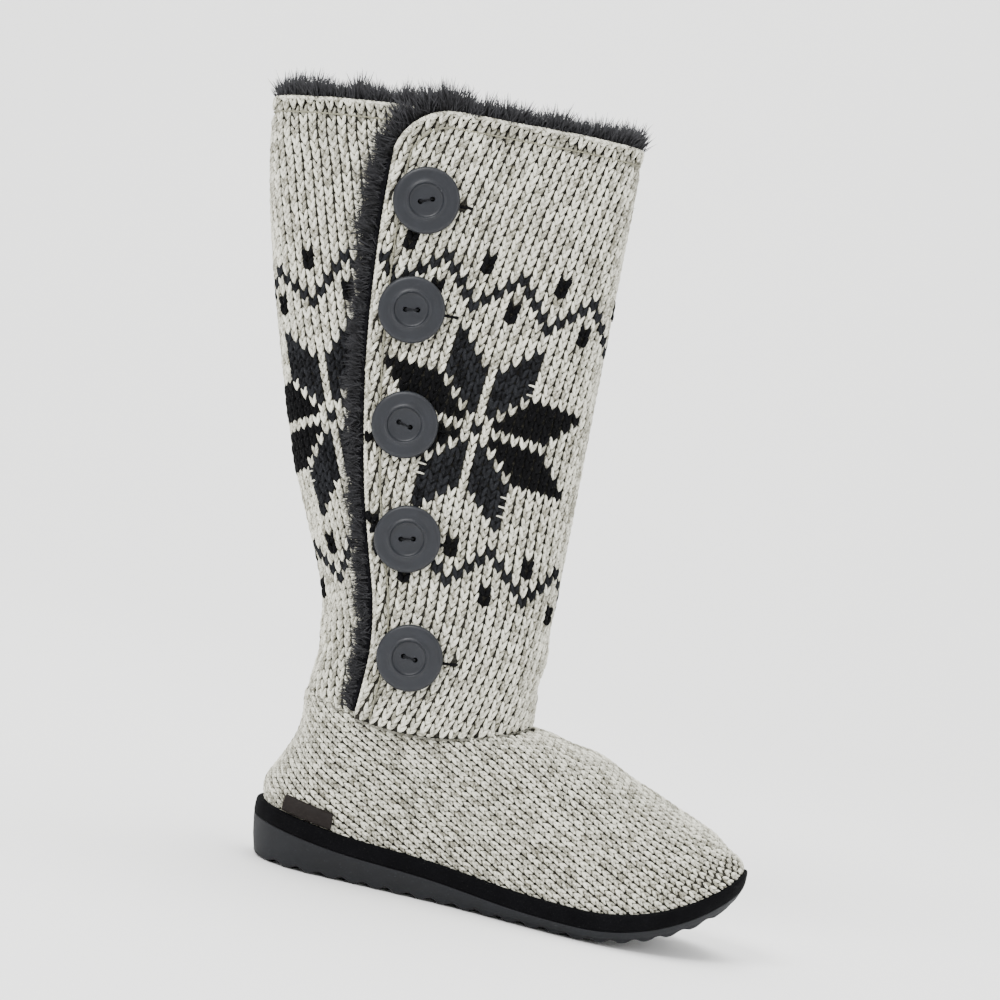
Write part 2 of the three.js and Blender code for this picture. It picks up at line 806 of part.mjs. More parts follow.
// Thread: two strands down through the holes and the slot, joined by a bar on the button
function makeThread(height) {
  const radius = threadDiameter / 2;
  const top = 0.7 * buttonThickness + buttonSeat + threadDiameter / 2 + clearance;
  const low = clearance - flapRaise(buttonFromEdge, height);
  const bar = new THREE.BoxGeometry(buttonHoleSpacing + threadDiameter, 0.9 * threadDiameter, radius);
  bar.translate(0, 0, top - radius / 2);
  let solid = toSolid(bar);
  for (const side of [-0.5, 0.5]) {
    const strand = new THREE.CylinderGeometry(radius, radius, top - low, 8);
    strand.rotateX(Math.PI / 2);
    strand.translate(side * buttonHoleSpacing, 0, (top + low) / 2);
    solid = solid.add(toSolid(strand));
  }
  return toGeometry(solid);
}

// Label: a small folded tab on the outer side of the heel, lying on the knit above the band
function makeLabel() {
  const columns = 5;
  const rowAt = (angle, height) => {
    let row = 0;
    while (row < lastRows.length - 1 && footPoint(angle, row).z < height) {
      row += 0.02;
    }
    return row;
  };
  const angleFor = (x) => Math.acos(1 - (2 * x) / soleLength);
  const outer = [];
  const inner = [];
  for (const rise of [0, 0.5, 1]) {
    const outerRow = [];
    const innerRow = [];
    for (let c = 0; c < columns; c += 1) {
      const x = labelFromHeel + (labelLength * c) / (columns - 1);
      const angle = angleFor(x);
      const base = bandTop(x) + 2 * clearance;
      const row = rowAt(angle, base + rise * labelHeight);
      const point = footPoint(angle, row);
      const normal = footNormal(angle, row);
      innerRow.push(point.clone().addScaledVector(normal, 2 * clearance));
      outerRow.push(point.clone().addScaledVector(normal, 2 * clearance + labelThickness));
    }
    outer.push(outerRow);
    inner.push(innerRow);
  }
  return wall(outer, inner, false);
}

add('outsole', makeOutsole(), materials.foam);
add('midsole', makeMidsole(), materials.felt);
add('insole', makeInsole(), materials.pad);
add('upper', makeUpper(), materials.knit);
add('shaft', makeShaft(), materials.knit);
add('collar_fur', makeCollarFur(), materials.pile);
add('placket_fur', makePlacketFur(), materials.pile);
buttonHeights.forEach((height, i) => {
  const frame = buttonFrame(height);
  const seat = new THREE.Matrix4().makeTranslation(0, 0, buttonSeat);
  const button = add(`button_${i + 1}`, makeButton(), materials.button);
  button.applyMatrix4(frame.clone().multiply(seat));
  const thread = add(`button_thread_${i + 1}`, makeThread(height), materials.thread);
  thread.applyMatrix4(frame);
});
add('label', makeLabel(), materials.label);

// The origin lies on the ground under the middle of the whole boot
boot.updateMatrixWorld(true);
const box = new THREE.Box3().setFromObject(boot, true);
boot.position.set(-(box.min.x + box.max.x) / 2, -(box.min.y + box.max.y) / 2, -box.min.z);
boot.updateMatrixWorld(true);

export default boot;
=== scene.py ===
# %% [markdown]
# # A knitted mukluk boot
# The boot stands on its sole, toe to +X, buttoned outer side to -Y. The CAD model gives its frame and
# sizes. Here each piece gets its surface: knitted stitches, pile, felt, foam and moulded buttons.

import bpy
import numpy as np
from mathutils import Matrix, Vector


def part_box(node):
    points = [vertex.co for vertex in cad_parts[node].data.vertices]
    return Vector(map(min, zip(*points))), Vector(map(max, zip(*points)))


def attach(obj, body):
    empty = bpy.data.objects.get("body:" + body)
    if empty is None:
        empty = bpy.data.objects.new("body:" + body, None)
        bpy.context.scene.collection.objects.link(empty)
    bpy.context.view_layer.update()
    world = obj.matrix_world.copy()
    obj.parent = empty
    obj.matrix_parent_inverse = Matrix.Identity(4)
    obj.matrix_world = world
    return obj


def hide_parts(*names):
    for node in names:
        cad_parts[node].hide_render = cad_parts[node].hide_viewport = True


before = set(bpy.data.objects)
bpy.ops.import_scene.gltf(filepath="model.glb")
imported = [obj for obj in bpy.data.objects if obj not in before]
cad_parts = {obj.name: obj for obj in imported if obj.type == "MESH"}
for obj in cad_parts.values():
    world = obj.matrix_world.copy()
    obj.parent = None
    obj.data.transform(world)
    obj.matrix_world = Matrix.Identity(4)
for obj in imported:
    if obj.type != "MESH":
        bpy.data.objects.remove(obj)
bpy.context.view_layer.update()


# %% [markdown]
# ## The boot's own sizes
# The pieces lie on the same curves that the CAD solids were made from. They are written again here in
# millimetres, measured from the back of the heel band, so that each stitch can be put in its place.

# %% Sizes in millimetres
BALL_WIDTH, SOLE_LENGTH = 98.0, 264.0
HEEL_SOLE, FORE_SOLE = 21.5, 7.0
SPRING_RADIUS, SPRING_START = 130.0, 177.0
FLARE, CORNER = 4.0, 2.6
TREAD_PITCH, GROOVE_WIDTH, GROOVE_DEPTH = 12.0, 6.0, 1.8
BAND_HEIGHT, BAND_ROUND, RIM_WIDTH, RIM_DEPTH = 9.3, 2.5, 5.0, 5.2
KNIT_WALL, CLEARANCE = 3.0, 0.3
ANKLE_LENGTH, ANKLE_WIDTH, ANKLE_CENTRE, ANKLE_HEIGHT = 120.0, 84.0, 74.0, 95.0
SHAFT_HEIGHT, LEAN = 306.0, np.radians(9.1)
COLLAR_LENGTH, COLLAR_WIDTH = 196.0, 66.0
OVERLAP, CORNER_RADIUS = 35.0, 28.0
BUTTON_HEIGHTS = (0.85, 0.674, 0.491, 0.312, 0.125)
BUTTON_FROM_EDGE = 21.5

SIDE_SHIFT = 1.0551
heel_corner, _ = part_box("outsole")
SHIFT = np.array([heel_corner.x * 1000.0, SIDE_SHIFT, 0.0])


def to_world(points):
    """Millimetres from the heel band as metres in the frame."""
    return (np.asarray(points, float) + SHIFT) / 1000.0


print("the back of the heel band stands at", to_world([0, 0, 0]))

# %% [markdown]
# ## Curves through short tables
# A pattern maker draws a smooth line through a few measured points. The same is done here: a table holds
# the points as shares of the named sizes, and one function runs a smooth curve through any column of it.
# Blender's own curves could do it too, but numbers can be asked for at any place, which stitches need.

# %% Smooth curves
def smooth(value):
    t = np.clip(value, 0.0, 1.0)
    return t * t * (3.0 - 2.0 * t)


def curve(rows, at, column=1):
    """A smooth curve through one column of a table, at many places."""
    table = np.array(rows, float)
    xs, ys = table[:, 0], table[:, column]
    last = len(xs) - 1
    x = np.clip(np.asarray(at, float), xs[0], xs[-1])
    i = np.clip(np.searchsorted(xs, x, side="right") - 1, 0, last - 1)
    before, after = np.maximum(np.arange(last + 1) - 1, 0), np.minimum(np.arange(last + 1) + 1, last)
    slope = (ys[after] - ys[before]) / (xs[after] - xs[before])
    span = xs[i + 1] - xs[i]
    t = (x - xs[i]) / span
    t2, t3 = t * t, t * t * t
    return ((2 * t3 - 3 * t2 + 1) * ys[i] + (t3 - 2 * t2 + t) * span * slope[i]
            + (3 * t2 - 2 * t3) * ys[i + 1] + (t3 - t2) * span * slope[i + 1])


def unit(vectors):
    """The same ways at a length of 1."""
    return vectors / np.linalg.norm(vectors, axis=-1, keepdims=True)


print("halfway between 2 and 4:", curve([(0, 2), (1, 4)], 0.5))

# %% Tables of the boot's sections
OUTLINE = [
    (0, 0, 0), (0.02, 0.192, 0), (0.05, 0.285, 0), (0.1, 0.354, 0), (0.16, 0.368, -0.003),
    (0.28, 0.352, -0.02), (0.42, 0.352, -0.038), (0.55, 0.425, -0.028), (0.65, 0.482, -0.012),
    (0.73, 0.5, 0), (0.81, 0.47, 0.012), (0.89, 0.392, 0.03), (0.95, 0.284, 0.044),
    (0.985, 0.162, 0.052), (1, 0, 0.056),
]
OUTLINE_BY_ANGLE = [(float(np.arccos(1 - 2 * at)), half, shift) for at, half, shift in OUTLINE]
WEDGE = [(0, 1), (0.106, 0.724), (0.2, 0.517), (0.367, 0.345), (0.534, 0.07), (0.65, 0), (1, 0)]
LAST = [
    (0, 0, 0, 0, 0, 0, 0), (1, 0, 0.09, 0, 0.09, 0.01, 0.1), (2, -0.1, 0.16, 0.03, 0.17, 0.043, 0.237),
    (3, -0.17, 0.25, 0.09, 0.27, 0.116, 0.385), (4, 0.05, 0.34, 0.18, 0.37, 0.212, 0.479),
    (5, 0.36, 0.43, 0.29, 0.47, 0.309, 0.559), (6, 0.68, 0.53, 0.41, 0.57, 0.405, 0.642),
    (7, 0.92, 0.62, 0.53, 0.66, 0.502, 0.728), (8, 1.05, 0.74, 0.68, 0.77, 0.646, 0.848),
    (9, 1.03, 0.86, 0.83, 0.88, 0.791, 0.938), (10, 1, 0.93, 0.92, 0.94, 0.887, 0.978),
    (11, 1, 1, 1, 1, 1, 1),
]
LEG = [
    (0, 0, 0, 0.24), (0.12, -0.01, 0.06, 0.25), (0.2, 0.07, 0.14, 0.26), (0.28, 0.21, 0.24, 0.266),
    (0.39, 0.4, 0.4, 0.275), (0.585, 0.65, 0.62, 0.29), (0.78, 0.86, 0.82, 0.32),
    (0.92, 0.97, 0.94, 0.343), (1, 1, 1, 0.354),
]

print("points in the outline, last and leg tables:", len(OUTLINE), len(LAST), len(LEG))

# %% Outline of the sole
def outline(angle):
    """The edge of the sole seen from above; angle 0 is the heel, pi the toe."""
    angle = np.mod(angle, 2 * np.pi)
    folded = np.minimum(angle, 2 * np.pi - angle)
    side = np.where(angle <= np.pi, -1.0, 1.0)
    half = curve(OUTLINE_BY_ANGLE, folded, 1) * BALL_WIDTH
    shift = curve(OUTLINE_BY_ANGLE, folded, 2) * BALL_WIDTH
    return np.stack([SOLE_LENGTH * (1 - np.cos(angle)) / 2, shift + side * half], -1)


def inset(angle, amount):
    """The sole's outline moved inward by an amount."""
    along = unit(outline(angle + 0.02) - outline(angle - 0.02))
    point = outline(angle)
    return point + np.stack([-along[..., 1], along[..., 0]], -1) * np.asarray(amount)[..., None]


width = np.ptp(outline(np.linspace(0, 2 * np.pi, 400))[:, 1])
print("width of the sole at the ball", round(float(width), 1))

# %% Heights of the sole, ankle and collar
ANKLE_TILT, ANKLE_DIP = 3.0, 11.0
COLLAR_TILT, COLLAR_RISE = 7.7, 3.0


def tread(x):
    """The tread's height, which springs up at the toe."""
    past = np.clip(x - SPRING_START, 0, SPRING_RADIUS)
    return SPRING_RADIUS - np.sqrt(SPRING_RADIUS ** 2 - past ** 2)


def sole_top(x):
    """The top of the foam, a wedge under the heel."""
    return tread(x) + FORE_SOLE + (HEEL_SOLE - FORE_SOLE) * curve(WEDGE, x / SOLE_LENGTH)


def band_top(x):
    """The top of the felt band."""
    return sole_top(x) + BAND_HEIGHT


def seam_height(angle):
    """The ankle seam, which dips at the sides."""
    return ANKLE_HEIGHT - ANKLE_TILT * np.cos(angle) - ANKLE_DIP * np.sin(angle) ** 2


def collar_height(angle):
    """The collar's edge, higher at the front than behind."""
    return ANKLE_HEIGHT + SHAFT_HEIGHT - COLLAR_TILT * np.cos(angle) + COLLAR_RISE * np.sin(angle) ** 2


print("top of the band at heel and toe", band_top(0.0), band_top(SOLE_LENGTH))

# %% [markdown]
# ## Meshes from grids of points
# Every wall and solid of the boot is a grid of points that follows the body of the shoe. The grid is made
# with numbers, then joined by four-sided faces. A wall is two grids joined at their rims, and a solid is a
# stack of rings with both ends closed, so that no piece has an open edge.

# %% Objects and faces
def make_object(name, points, faces):
    """A smooth mesh in the scene."""
    mesh = bpy.data.meshes.new(name)
    mesh.from_pydata([tuple(p) for p in np.asarray(points)], [], [tuple(f) for f in faces])
    mesh.update()
    mesh.polygons.foreach_set("use_smooth", [True] * len(mesh.polygons))
    thing = bpy.data.objects.new(name, mesh)
    bpy.context.scene.collection.objects.link(thing)
    return thing


def grid_faces(rows, columns, closed, start=0):
    """The four-sided faces between the points of a grid."""
    r, c = np.meshgrid(np.arange(rows - 1), np.arange(columns if closed else columns - 1), indexing="ij")
    n = (c + 1) % columns
    return (start + np.stack([r * columns + c, r * columns + n,
                              (r + 1) * columns + n, (r + 1) * columns + c], -1)).reshape(-1, 4).tolist()


def outward(points, faces):
    """The faces turned so that the closed shape's volume is positive."""
    p, total = np.asarray(points), 0.0
    for f in faces:
        for k in range(1, len(f) - 1):
            total += np.dot(p[f[0]], np.cross(p[f[k]], p[f[k + 1]]))
    return faces if total > 0 else [f[::-1] for f in faces]


print("a grid of 3 by 4 points has faces:", len(grid_faces(3, 4, False)))

# %% Walls and solids
def shell(name, outer, inner, closed):
    """A closed wall between an outer and an inner grid."""
    rows, columns = outer.shape[:2]
    faces = grid_faces(rows, columns, closed)
    count = rows * columns
    faces = faces + [[i + count for i in f[::-1]] for f in faces]
    for row in (0, rows - 1):
        for c in range(columns if closed else columns - 1):
            a, b = row * columns + c, row * columns + (c + 1) % columns
            faces.append([b, a, a + count, b + count] if row == 0 else [a, b, b + count, a + count])
    if not closed:
        for c in (0, columns - 1):
            for r in range(rows - 1):
                a, b = r * columns + c, (r + 1) * columns + c
                faces.append([a, b, b + count, a + count] if c == 0 else [b, a, a + count, b + count])
    points = to_world(np.concatenate([outer.reshape(-1, 3), inner.reshape(-1, 3)]))
    return make_object(name, points, outward(points, faces))


def loft(name, rings):
    """A solid through rings of equal count, closed by strips across the first and the last."""
    rings = np.asarray(rings)
    rows, columns = rings.shape[:2]
    faces = grid_faces(rows, columns, True)
    for start, flip in ((0, True), ((rows - 1) * columns, False)):
        for i in range(columns // 2):
            a, b = start + i, start + i + 1
            c, d = start + (columns - i - 1) % columns, start + (columns - i) % columns
            face = [a, b, c] if i == 0 else [a, b, d] if b == c else [a, b, c, d]
            faces.append(face[::-1] if flip else face)
    points = to_world(rings.reshape(-1, 3))
    return make_object(name, points, outward(points, faces))

# %% [markdown]
# ## Finishes as expressions
# A finish is a sum of colours and noises. Nodes could be placed and linked one by one, but a formula is
# easier to read: a small class wraps a shader socket, so that it can be added and multiplied as a number.

# %% Shader sockets as numbers
class Value:
    """A shader socket that can be added and multiplied as a number."""
    def __init__(self, tree, socket):
        self.tree, self.socket = tree, socket

    def node(self, kind, settings=None, inputs=None, output=0):
        made = self.tree.nodes.new(kind)
        for key, value in (settings or {}).items():
            setattr(made, key, value)
        for key, value in (inputs or {}).items():
            if isinstance(value, Value):
                self.tree.links.new(value.socket, made.inputs[key])
            else:
                made.inputs[key].default_value = value
        return Value(self.tree, made.outputs[output])

    def math(self, operation, *others):
        inputs = {i: other for i, other in enumerate((self, *others))}
        return self.node("ShaderNodeMath", {"operation": operation}, inputs)

    def __add__(self, other):
        return self.math("ADD", other)

    def __mul__(self, other):
        return self.math("MULTIPLY", other)

    def __sub__(self, other):
        return self.math("SUBTRACT", other)

    def __rsub__(self, other):
        return self * -1.0 + other

    __radd__, __rmul__ = __add__, __mul__

    def step(self, start, end):
        """0 before start, 1 after end, smooth between."""
        return self.node("ShaderNodeMapRange", {"interpolation_type": "SMOOTHSTEP"},
                         {0: self, 1: start, 2: end})

    def mix(self, first, second):
        """The colour first at 0 and second at 1."""
        return self.node("ShaderNodeMix", {"data_type": "RGBA"}, {0: self, 6: first, 7: second}, 2)


print("a socket can be", [name for name in vars(Value) if not name.startswith("_")])

# %% Colours, materials and noises
def colour(red, green, blue):
    """A colour written in screen values from 0 to 255, as the shader's own linear values."""
    shares = [value / 255.0 for value in (red, green, blue)]
    return (*[s / 12.92 if s <= 0.04045 else ((s + 0.055) / 1.055) ** 2.4 for s in shares], 1.0)


def make_material(name, build, **constants):
    """build gets the Object coordinates and returns the sockets that vary, by the shader's names."""
    material = bpy.data.materials.new(name)
    material.use_nodes = True
    tree = material.node_tree
    shader = tree.nodes["Principled BSDF"]
    for key, value in constants.items():
        shader.inputs[key.replace("_", " ")].default_value = value
    place = tree.nodes.new("ShaderNodeTexCoord").outputs["Object"]
    for key, value in build(Value(tree, place)).items():
        tree.links.new(value.socket, shader.inputs[key])
    return material


def noise(place, scale, detail=2.0, roughness=0.5):
    return place.node("ShaderNodeTexNoise", {},
                      {"Vector": place, "Scale": scale, "Detail": detail, "Roughness": roughness}, "Fac")


def attribute(place, name, output="Fac"):
    return place.node("ShaderNodeAttribute", {"attribute_name": name}, {}, output)


def bump(place, height, distance):
    return place.node("ShaderNodeBump", {}, {"Height": height, "Distance": distance}, "Normal")


print("dark grey on screen is, as light,", round(colour(38, 38, 38)[0], 4))

# %% [markdown]
# ## Outsole
# The outsole is one moulding of firm foam: a wedge under the heel, a toe that springs up, and scalloped
# ripples underneath. It could be a box cut by a boolean for each ripple. Here it is a stack of rings round
# the outline, and each ring rises where a groove is, which gives round ripples and clean edges.

# %% Foam finish
def foam(place):
    grain, cloud = noise(place, 2600.0, 3.0), noise(place, 60.0, 3.0)
    speck = noise(place, 900.0, 1.0).step(0.66, 0.74) * 0.35
    tone = (grain * 0.25 + cloud * 0.5 + speck).step(0.15, 0.95)
    return {"Base Color": tone.mix(colour(16, 17, 20), colour(37, 39, 43)),
            "Roughness": cloud * 0.2 + 0.68,
            "Normal": bump(place, grain + cloud * 0.5, 0.0002)}


foam_finish = make_material("foam", foam, Specular_IOR_Level=0.3)
print("material", foam_finish.name)

# %% Rings and ripples
TURNS = np.linspace(0, 2 * np.pi, 440, endpoint=False)


def ring(amount, height):
    """A ring of points inside the outline, at a height for each length along the foot."""
    flat = inset(TURNS, np.full(len(TURNS), amount))
    return np.column_stack([flat, height(flat[:, 0])])


def ripple(x):
    """How deep the tread's groove is at a length along the foot."""
    away = np.abs((x / TREAD_PITCH) % 1.0 - 0.5) * TREAD_PITCH
    inside = (x > TREAD_PITCH) & (x < SOLE_LENGTH - TREAD_PITCH)
    round_part = (0.5 + 0.5 * np.cos(np.pi * np.clip(away / (0.85 * GROOVE_WIDTH), 0, 1))) ** 0.8
    return np.where(inside, GROOVE_DEPTH * round_part, 0.0)


print("deepest ripple in millimetres", float(ripple(np.arange(SOLE_LENGTH)).max()))

# %% The outsole's rings
WALL_SHARES = (0.45, 0.7, 0.88, 0.97)


def sole_rows():
    rows = [(FLARE + CORNER + 1.5, lambda x: tread(x) + ripple(x))]
    for turn in np.linspace(0, np.pi / 2, 5):
        rise = CORNER * (1 - np.cos(turn))
        rows.append((FLARE + CORNER * (1 - np.sin(turn)),
                     lambda x, rise=rise: tread(x) + np.maximum(rise, ripple(x) + rise * 0.45)))
    for share in WALL_SHARES:
        rows.append((FLARE * (1 - share) ** 1.1,
                     lambda x, share=share: tread(x) + (sole_top(x) - tread(x)) * share))
    rows.append((0.25, sole_top))
    return rows


outsole = loft("outsole_foam", [ring(*row) for row in sole_rows()])
outsole.data.materials.append(foam_finish)
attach(outsole, "root")
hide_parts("outsole")
print("outsole faces", len(outsole.data.polygons))

# %% [markdown]
# ## Felt platform
# Above the foam lies a platform wrapped in black felt: its side is the band round the boot, and its top is
# a shallow tray that the foot is sewn into. The band's upper edge is a soft roll, so its rings follow a
# quarter circle. Felt is dull and full of lint, so the finish has no shine and pale specks.

# %% Felt finish
def felt(place):
    fuzz, cloud = noise(place, 1400.0, 4.0, 0.7), noise(place, 90.0, 3.0)
    lint = noise(place, 620.0, 2.0).step(0.68, 0.76) * 0.25
    tone = (fuzz * 0.6 + cloud * 0.3 + lint).step(0.2, 1.0)
    return {"Base Color": tone.mix(colour(3, 3, 4), colour(20, 20, 23)),
            "Normal": bump(place, fuzz + cloud * 0.6, 0.0005)}


felt_finish = make_material("felt", felt, Roughness=1.0, Specular_IOR_Level=0.08)
print("material", felt_finish.name)

# %% The platform's rings
def platform_rings():
    rows = [ring(0.0, lambda x: sole_top(x) + CLEARANCE),
            ring(-0.25, lambda x: sole_top(x) + CLEARANCE + 1.2),
            ring(-0.3, lambda x: band_top(x) - BAND_HEIGHT / 2)]
    for turn in np.linspace(0, np.pi / 2, 6):
        rows.append(ring(BAND_ROUND * (1 - np.cos(turn)) - 0.2,
                         lambda x, turn=turn: band_top(x) - BAND_ROUND * (1 - np.sin(turn))))
    rows.append(ring(0.85 * RIM_WIDTH, lambda x: band_top(x) - 0.25 * BAND_ROUND))
    rows.append(ring(RIM_WIDTH, lambda x: band_top(x) - 0.6 * BAND_ROUND))
    rows.append(ring(RIM_WIDTH, lambda x: band_top(x) - RIM_DEPTH))
    return rows


platform = loft("platform_felt", platform_rings())
platform.data.materials.append(felt_finish)
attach(platform, "root")
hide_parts("midsole")
print("platform faces", len(platform.data.polygons))

# %% [markdown]
# ## Insole
# A pad of dark cloth fills the floor of the boot. Only its top is ever seen, deep inside, so it is a plain
# loft with a rounded rim. The same cloth finish serves for every lining under the pile.

# %% Dark lining cloth
def pad_cloth(place):
    curl, fine = noise(place, 320.0, 4.0, 0.7), noise(place, 1500.0, 2.0)
    tone = (curl * 0.8 + fine * 0.3).step(0.3, 0.8)
    return {"Base Color": tone.mix(colour(3, 3, 4), colour(24, 24, 27)),
            "Normal": bump(place, curl + fine * 0.3, 0.002)}


pile_cloth = make_material("pile_cloth", pad_cloth, Roughness=1.0, Specular_IOR_Level=0.05)
print("material", pile_cloth.name)

# %% The insole
PAD_EDGE = RIM_WIDTH + 3 * CLEARANCE + KNIT_WALL
PAD_RIM = ((0.0, 0.0), (0.0, 2.8), (0.4, 3.6), (1.4, 4.0))


def pad_floor(x):
    return band_top(x) - RIM_DEPTH + CLEARANCE


insole = loft("insole_pad", [
    ring(PAD_EDGE + inward, lambda x, rise=rise: pad_floor(x) + rise) for inward, rise in PAD_RIM])
insole.data.materials.append(pile_cloth)
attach(insole, "root")
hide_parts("insole")
print("insole faces", len(insole.data.polygons))

# %% [markdown]
# ## Stitches by Geometry Nodes
# A knitted V is two short legs of yarn. A fabric could be a picture or a bump, but this knit is coarse and
# its outline shows at the boot's edges, so each leg of yarn is real. It is a point with its direction, its
# way out and its size, and one node tree puts a plump strand on every point.

# %% Helpers for node trees
def new_tree(name, inputs):
    """An empty node tree with its inputs, its start and its end."""
    tree = bpy.data.node_groups.new(name, "GeometryNodeTree")
    tree.interface.new_socket("Geometry", in_out="INPUT", socket_type="NodeSocketGeometry")
    for title, kind in inputs:
        tree.interface.new_socket(title, in_out="INPUT", socket_type=kind)
    tree.interface.new_socket("Geometry", in_out="OUTPUT", socket_type="NodeSocketGeometry")
    return tree, tree.nodes.new("NodeGroupInput"), tree.nodes.new("NodeGroupOutput")


def add_node(tree, kind, settings=None, inputs=None):
    """A node with its settings, and its inputs as links or values."""
    made = tree.nodes.new(kind)
    for key, value in (settings or {}).items():
        setattr(made, key, value)
    for key, value in (inputs or {}).items():
        if isinstance(value, bpy.types.NodeSocket):
            tree.links.new(value, made.inputs[key])
        else:
            made.inputs[key].default_value = value
    return made


def named(tree, name, kind="FLOAT_VECTOR"):
    """A value that the points carry."""
    return add_node(tree, "GeometryNodeInputNamedAttribute",
                    {"data_type": kind}, {"Name": name}).outputs[0]


def finish_tree(tree, start, end, put):
    """Give each instance its own tone, make all of them real and set their material."""
    chance = add_node(tree, "FunctionNodeRandomValue", {"data_type": "FLOAT"}, {
        "Seed": start.outputs["Seed"]})
    store = {"data_type": "FLOAT", "domain": "INSTANCE"}
    tone = add_node(tree, "GeometryNodeStoreNamedAttribute", store, {
        "Geometry": put.outputs[0], "Name": "tone", "Value": chance.outputs[1]})
    real = add_node(tree, "GeometryNodeRealizeInstances", {}, {"Geometry": tone.outputs[0]})
    round_off = add_node(tree, "GeometryNodeSetShadeSmooth", {}, {"Geometry": real.outputs[0]})
    finish = add_node(tree, "GeometryNodeSetMaterial", {}, {
        "Geometry": round_off.outputs[0], "Material": start.outputs["Material"]})
    tree.links.new(finish.outputs[0], end.inputs[0])


def put_on_points(tree, start, shape, secondary):
    """An instance of the shape on every point, turned and sized by the point's own attributes."""
    turn = add_node(tree, "FunctionNodeAxesToRotation",
                    {"primary_axis": "Z", "secondary_axis": secondary},
                    {"Primary Axis": named(tree, "along"), "Secondary Axis": named(tree, "out")})
    return add_node(tree, "GeometryNodeInstanceOnPoints", {}, {
        "Points": start.outputs["Geometry"], "Instance": shape,
        "Rotation": turn.outputs[0], "Scale": named(tree, "size")})


print("node helpers: new_tree, add_node, named, finish_tree, put_on_points")

# %% The strand tree
def strand_tree():
    """The node tree that sets a plump strand on each point."""
    tree, start, end = new_tree("strands", [
        ("Sides", "NodeSocketInt"), ("Rings", "NodeSocketInt"), ("Seed", "NodeSocketInt"),
        ("Material", "NodeSocketMaterial")])
    ball = add_node(tree, "GeometryNodeMeshUVSphere", {}, {
        "Segments": start.outputs["Sides"], "Rings": start.outputs["Rings"], "Radius": 1.0})
    store = {"data_type": "FLOAT2", "domain": "CORNER"}
    wound = add_node(tree, "GeometryNodeStoreNamedAttribute", store, {
        "Geometry": ball.outputs["Mesh"], "Name": "wound", "Value": ball.outputs["UV Map"]})
    finish_tree(tree, start, end, put_on_points(tree, start, wound.outputs[0], "Y"))
    return tree


strands = strand_tree()
print("strand tree nodes", len(strands.nodes))

# %% Growing a finished mesh
def grow(name, tree, points, attributes, settings):
    """A points mesh turned into a finished mesh by a tree, with its attributes and settings."""
    mesh = bpy.data.meshes.new(name)
    mesh.from_pydata([tuple(p) for p in to_world(points)], [], [])
    for key, values in attributes.items():
        values = np.asarray(values, np.float32)
        kind = "FLOAT_VECTOR" if values.ndim == 2 else "FLOAT"
        layer = mesh.attributes.new(key, kind, "POINT")
        layer.data.foreach_set("vector" if values.ndim == 2 else "value", values.ravel())
    thing = bpy.data.objects.new(name, mesh)
    bpy.context.scene.collection.objects.link(thing)
    modifier = thing.modifiers.new("grow", "NODES")
    modifier.node_group = tree
    for item in tree.interface.items_tree:
        if item.in_out == "INPUT" and item.name in settings:
            modifier[item.identifier] = settings[item.name]
    bpy.context.view_layer.update()
    ready = thing.evaluated_get(bpy.context.evaluated_depsgraph_get())
    final = bpy.data.meshes.new_from_object(ready)
    thing.modifiers.clear()
    thing.data = final
    bpy.data.meshes.remove(mesh)
    print(name, "points", len(points), "triangles", sum(len(p.vertices) - 2 for p in final.polygons))
    return thing

# %% [markdown]
# ## Yarn
# The yarn is a soft melange: pale grey with darker fibres wound in. The pattern's yarn is charcoal.
# Two materials would do, but one is easier to keep in step: each strand carries a number that says how
# dark it is, and a small number on a pale strand darkens it as painted shade in the hem's groove. The
# winding runs slanting round each strand as a fine bump.

# %% Yarn finish
def yarn(place):
    dark, tone = attribute(place, "yarn"), attribute(place, "tone")
    wound = attribute(place, "wound", "Vector")
    across, along = [wound.node("ShaderNodeSeparateXYZ", {}, {0: wound}, axis) for axis in (0, 1)]
    ply = ((across * 2.0 + along * 3.0) * 6.2832).math("SINE") * 0.5 + 0.5
    fibre, cloud = noise(place, 1700.0, 3.0, 0.7), noise(place, 420.0, 2.0)
    light = (fibre * 1.3 + cloud * 0.7 + tone * 0.45 + ply * 0.15 - 0.88).step(0.0, 0.75)
    # Painted shade: pale strands with a small yarn number lie in the hem's groove and are darkened by up to
    # a half.
    groove_shade_factor = 1.0 - dark.step(0.0, 0.25) * 0.5
    pale = (light * groove_shade_factor).mix(colour(116, 113, 99), colour(243, 241, 225))
    deep = light.mix(colour(6, 6, 7), colour(34, 35, 38))
    black = light.mix(colour(2, 2, 3), colour(10, 10, 12))
    return {"Base Color": dark.step(0.3, 0.7).mix(pale, dark.step(1.2, 1.8).mix(deep, black)),
            "Normal": bump(place, ply * 0.6 + fibre, 0.0005)}


yarn_finish = make_material("yarn", yarn, Roughness=0.95, Specular_IOR_Level=0.12)
print("material", yarn_finish.name, "nodes", len(yarn_finish.node_tree.nodes))

# %% Backing finish: dark cloth behind and painted shade between the stitches
def backing(place):
    fine = noise(place, 900.0, 3.0)
    # Painted shade: this grey stands for the shade between stitches as well as the dark yarn and cloth
    # behind them.
    return {"Base Color": fine.step(0.3, 0.8).mix(colour(34, 33, 30), colour(68, 66, 60)),
            "Normal": bump(place, fine, 0.0005)}


backing_and_shade_finish = make_material("knit_backing_and_shade", backing, Roughness=1.0, Specular_IOR_Level=0.05)
print("material", backing_and_shade_finish.name)

# %% [markdown]
# ## The leg's surface
# The leg is an oval that grows from ankle to collar. A place on it is a distance round from the flap's
# edge and a share of the height, as a knitter would count it. Angles would bunch the stitches where the
# oval is flat, so a table turns distances into angles for all heights at once.

# %% The leg's oval
ANKLE_FRONT = ANKLE_CENTRE + ANKLE_LENGTH / 2
COLLAR_FRONT = ANKLE_CENTRE - SHAFT_HEIGHT * np.tan(LEAN) + COLLAR_LENGTH / 2


def roundness(height):
    """The power of the oval, which is a little squarer at the collar."""
    return 2 / (2 + 0.3 * np.clip(height, 0, 1))


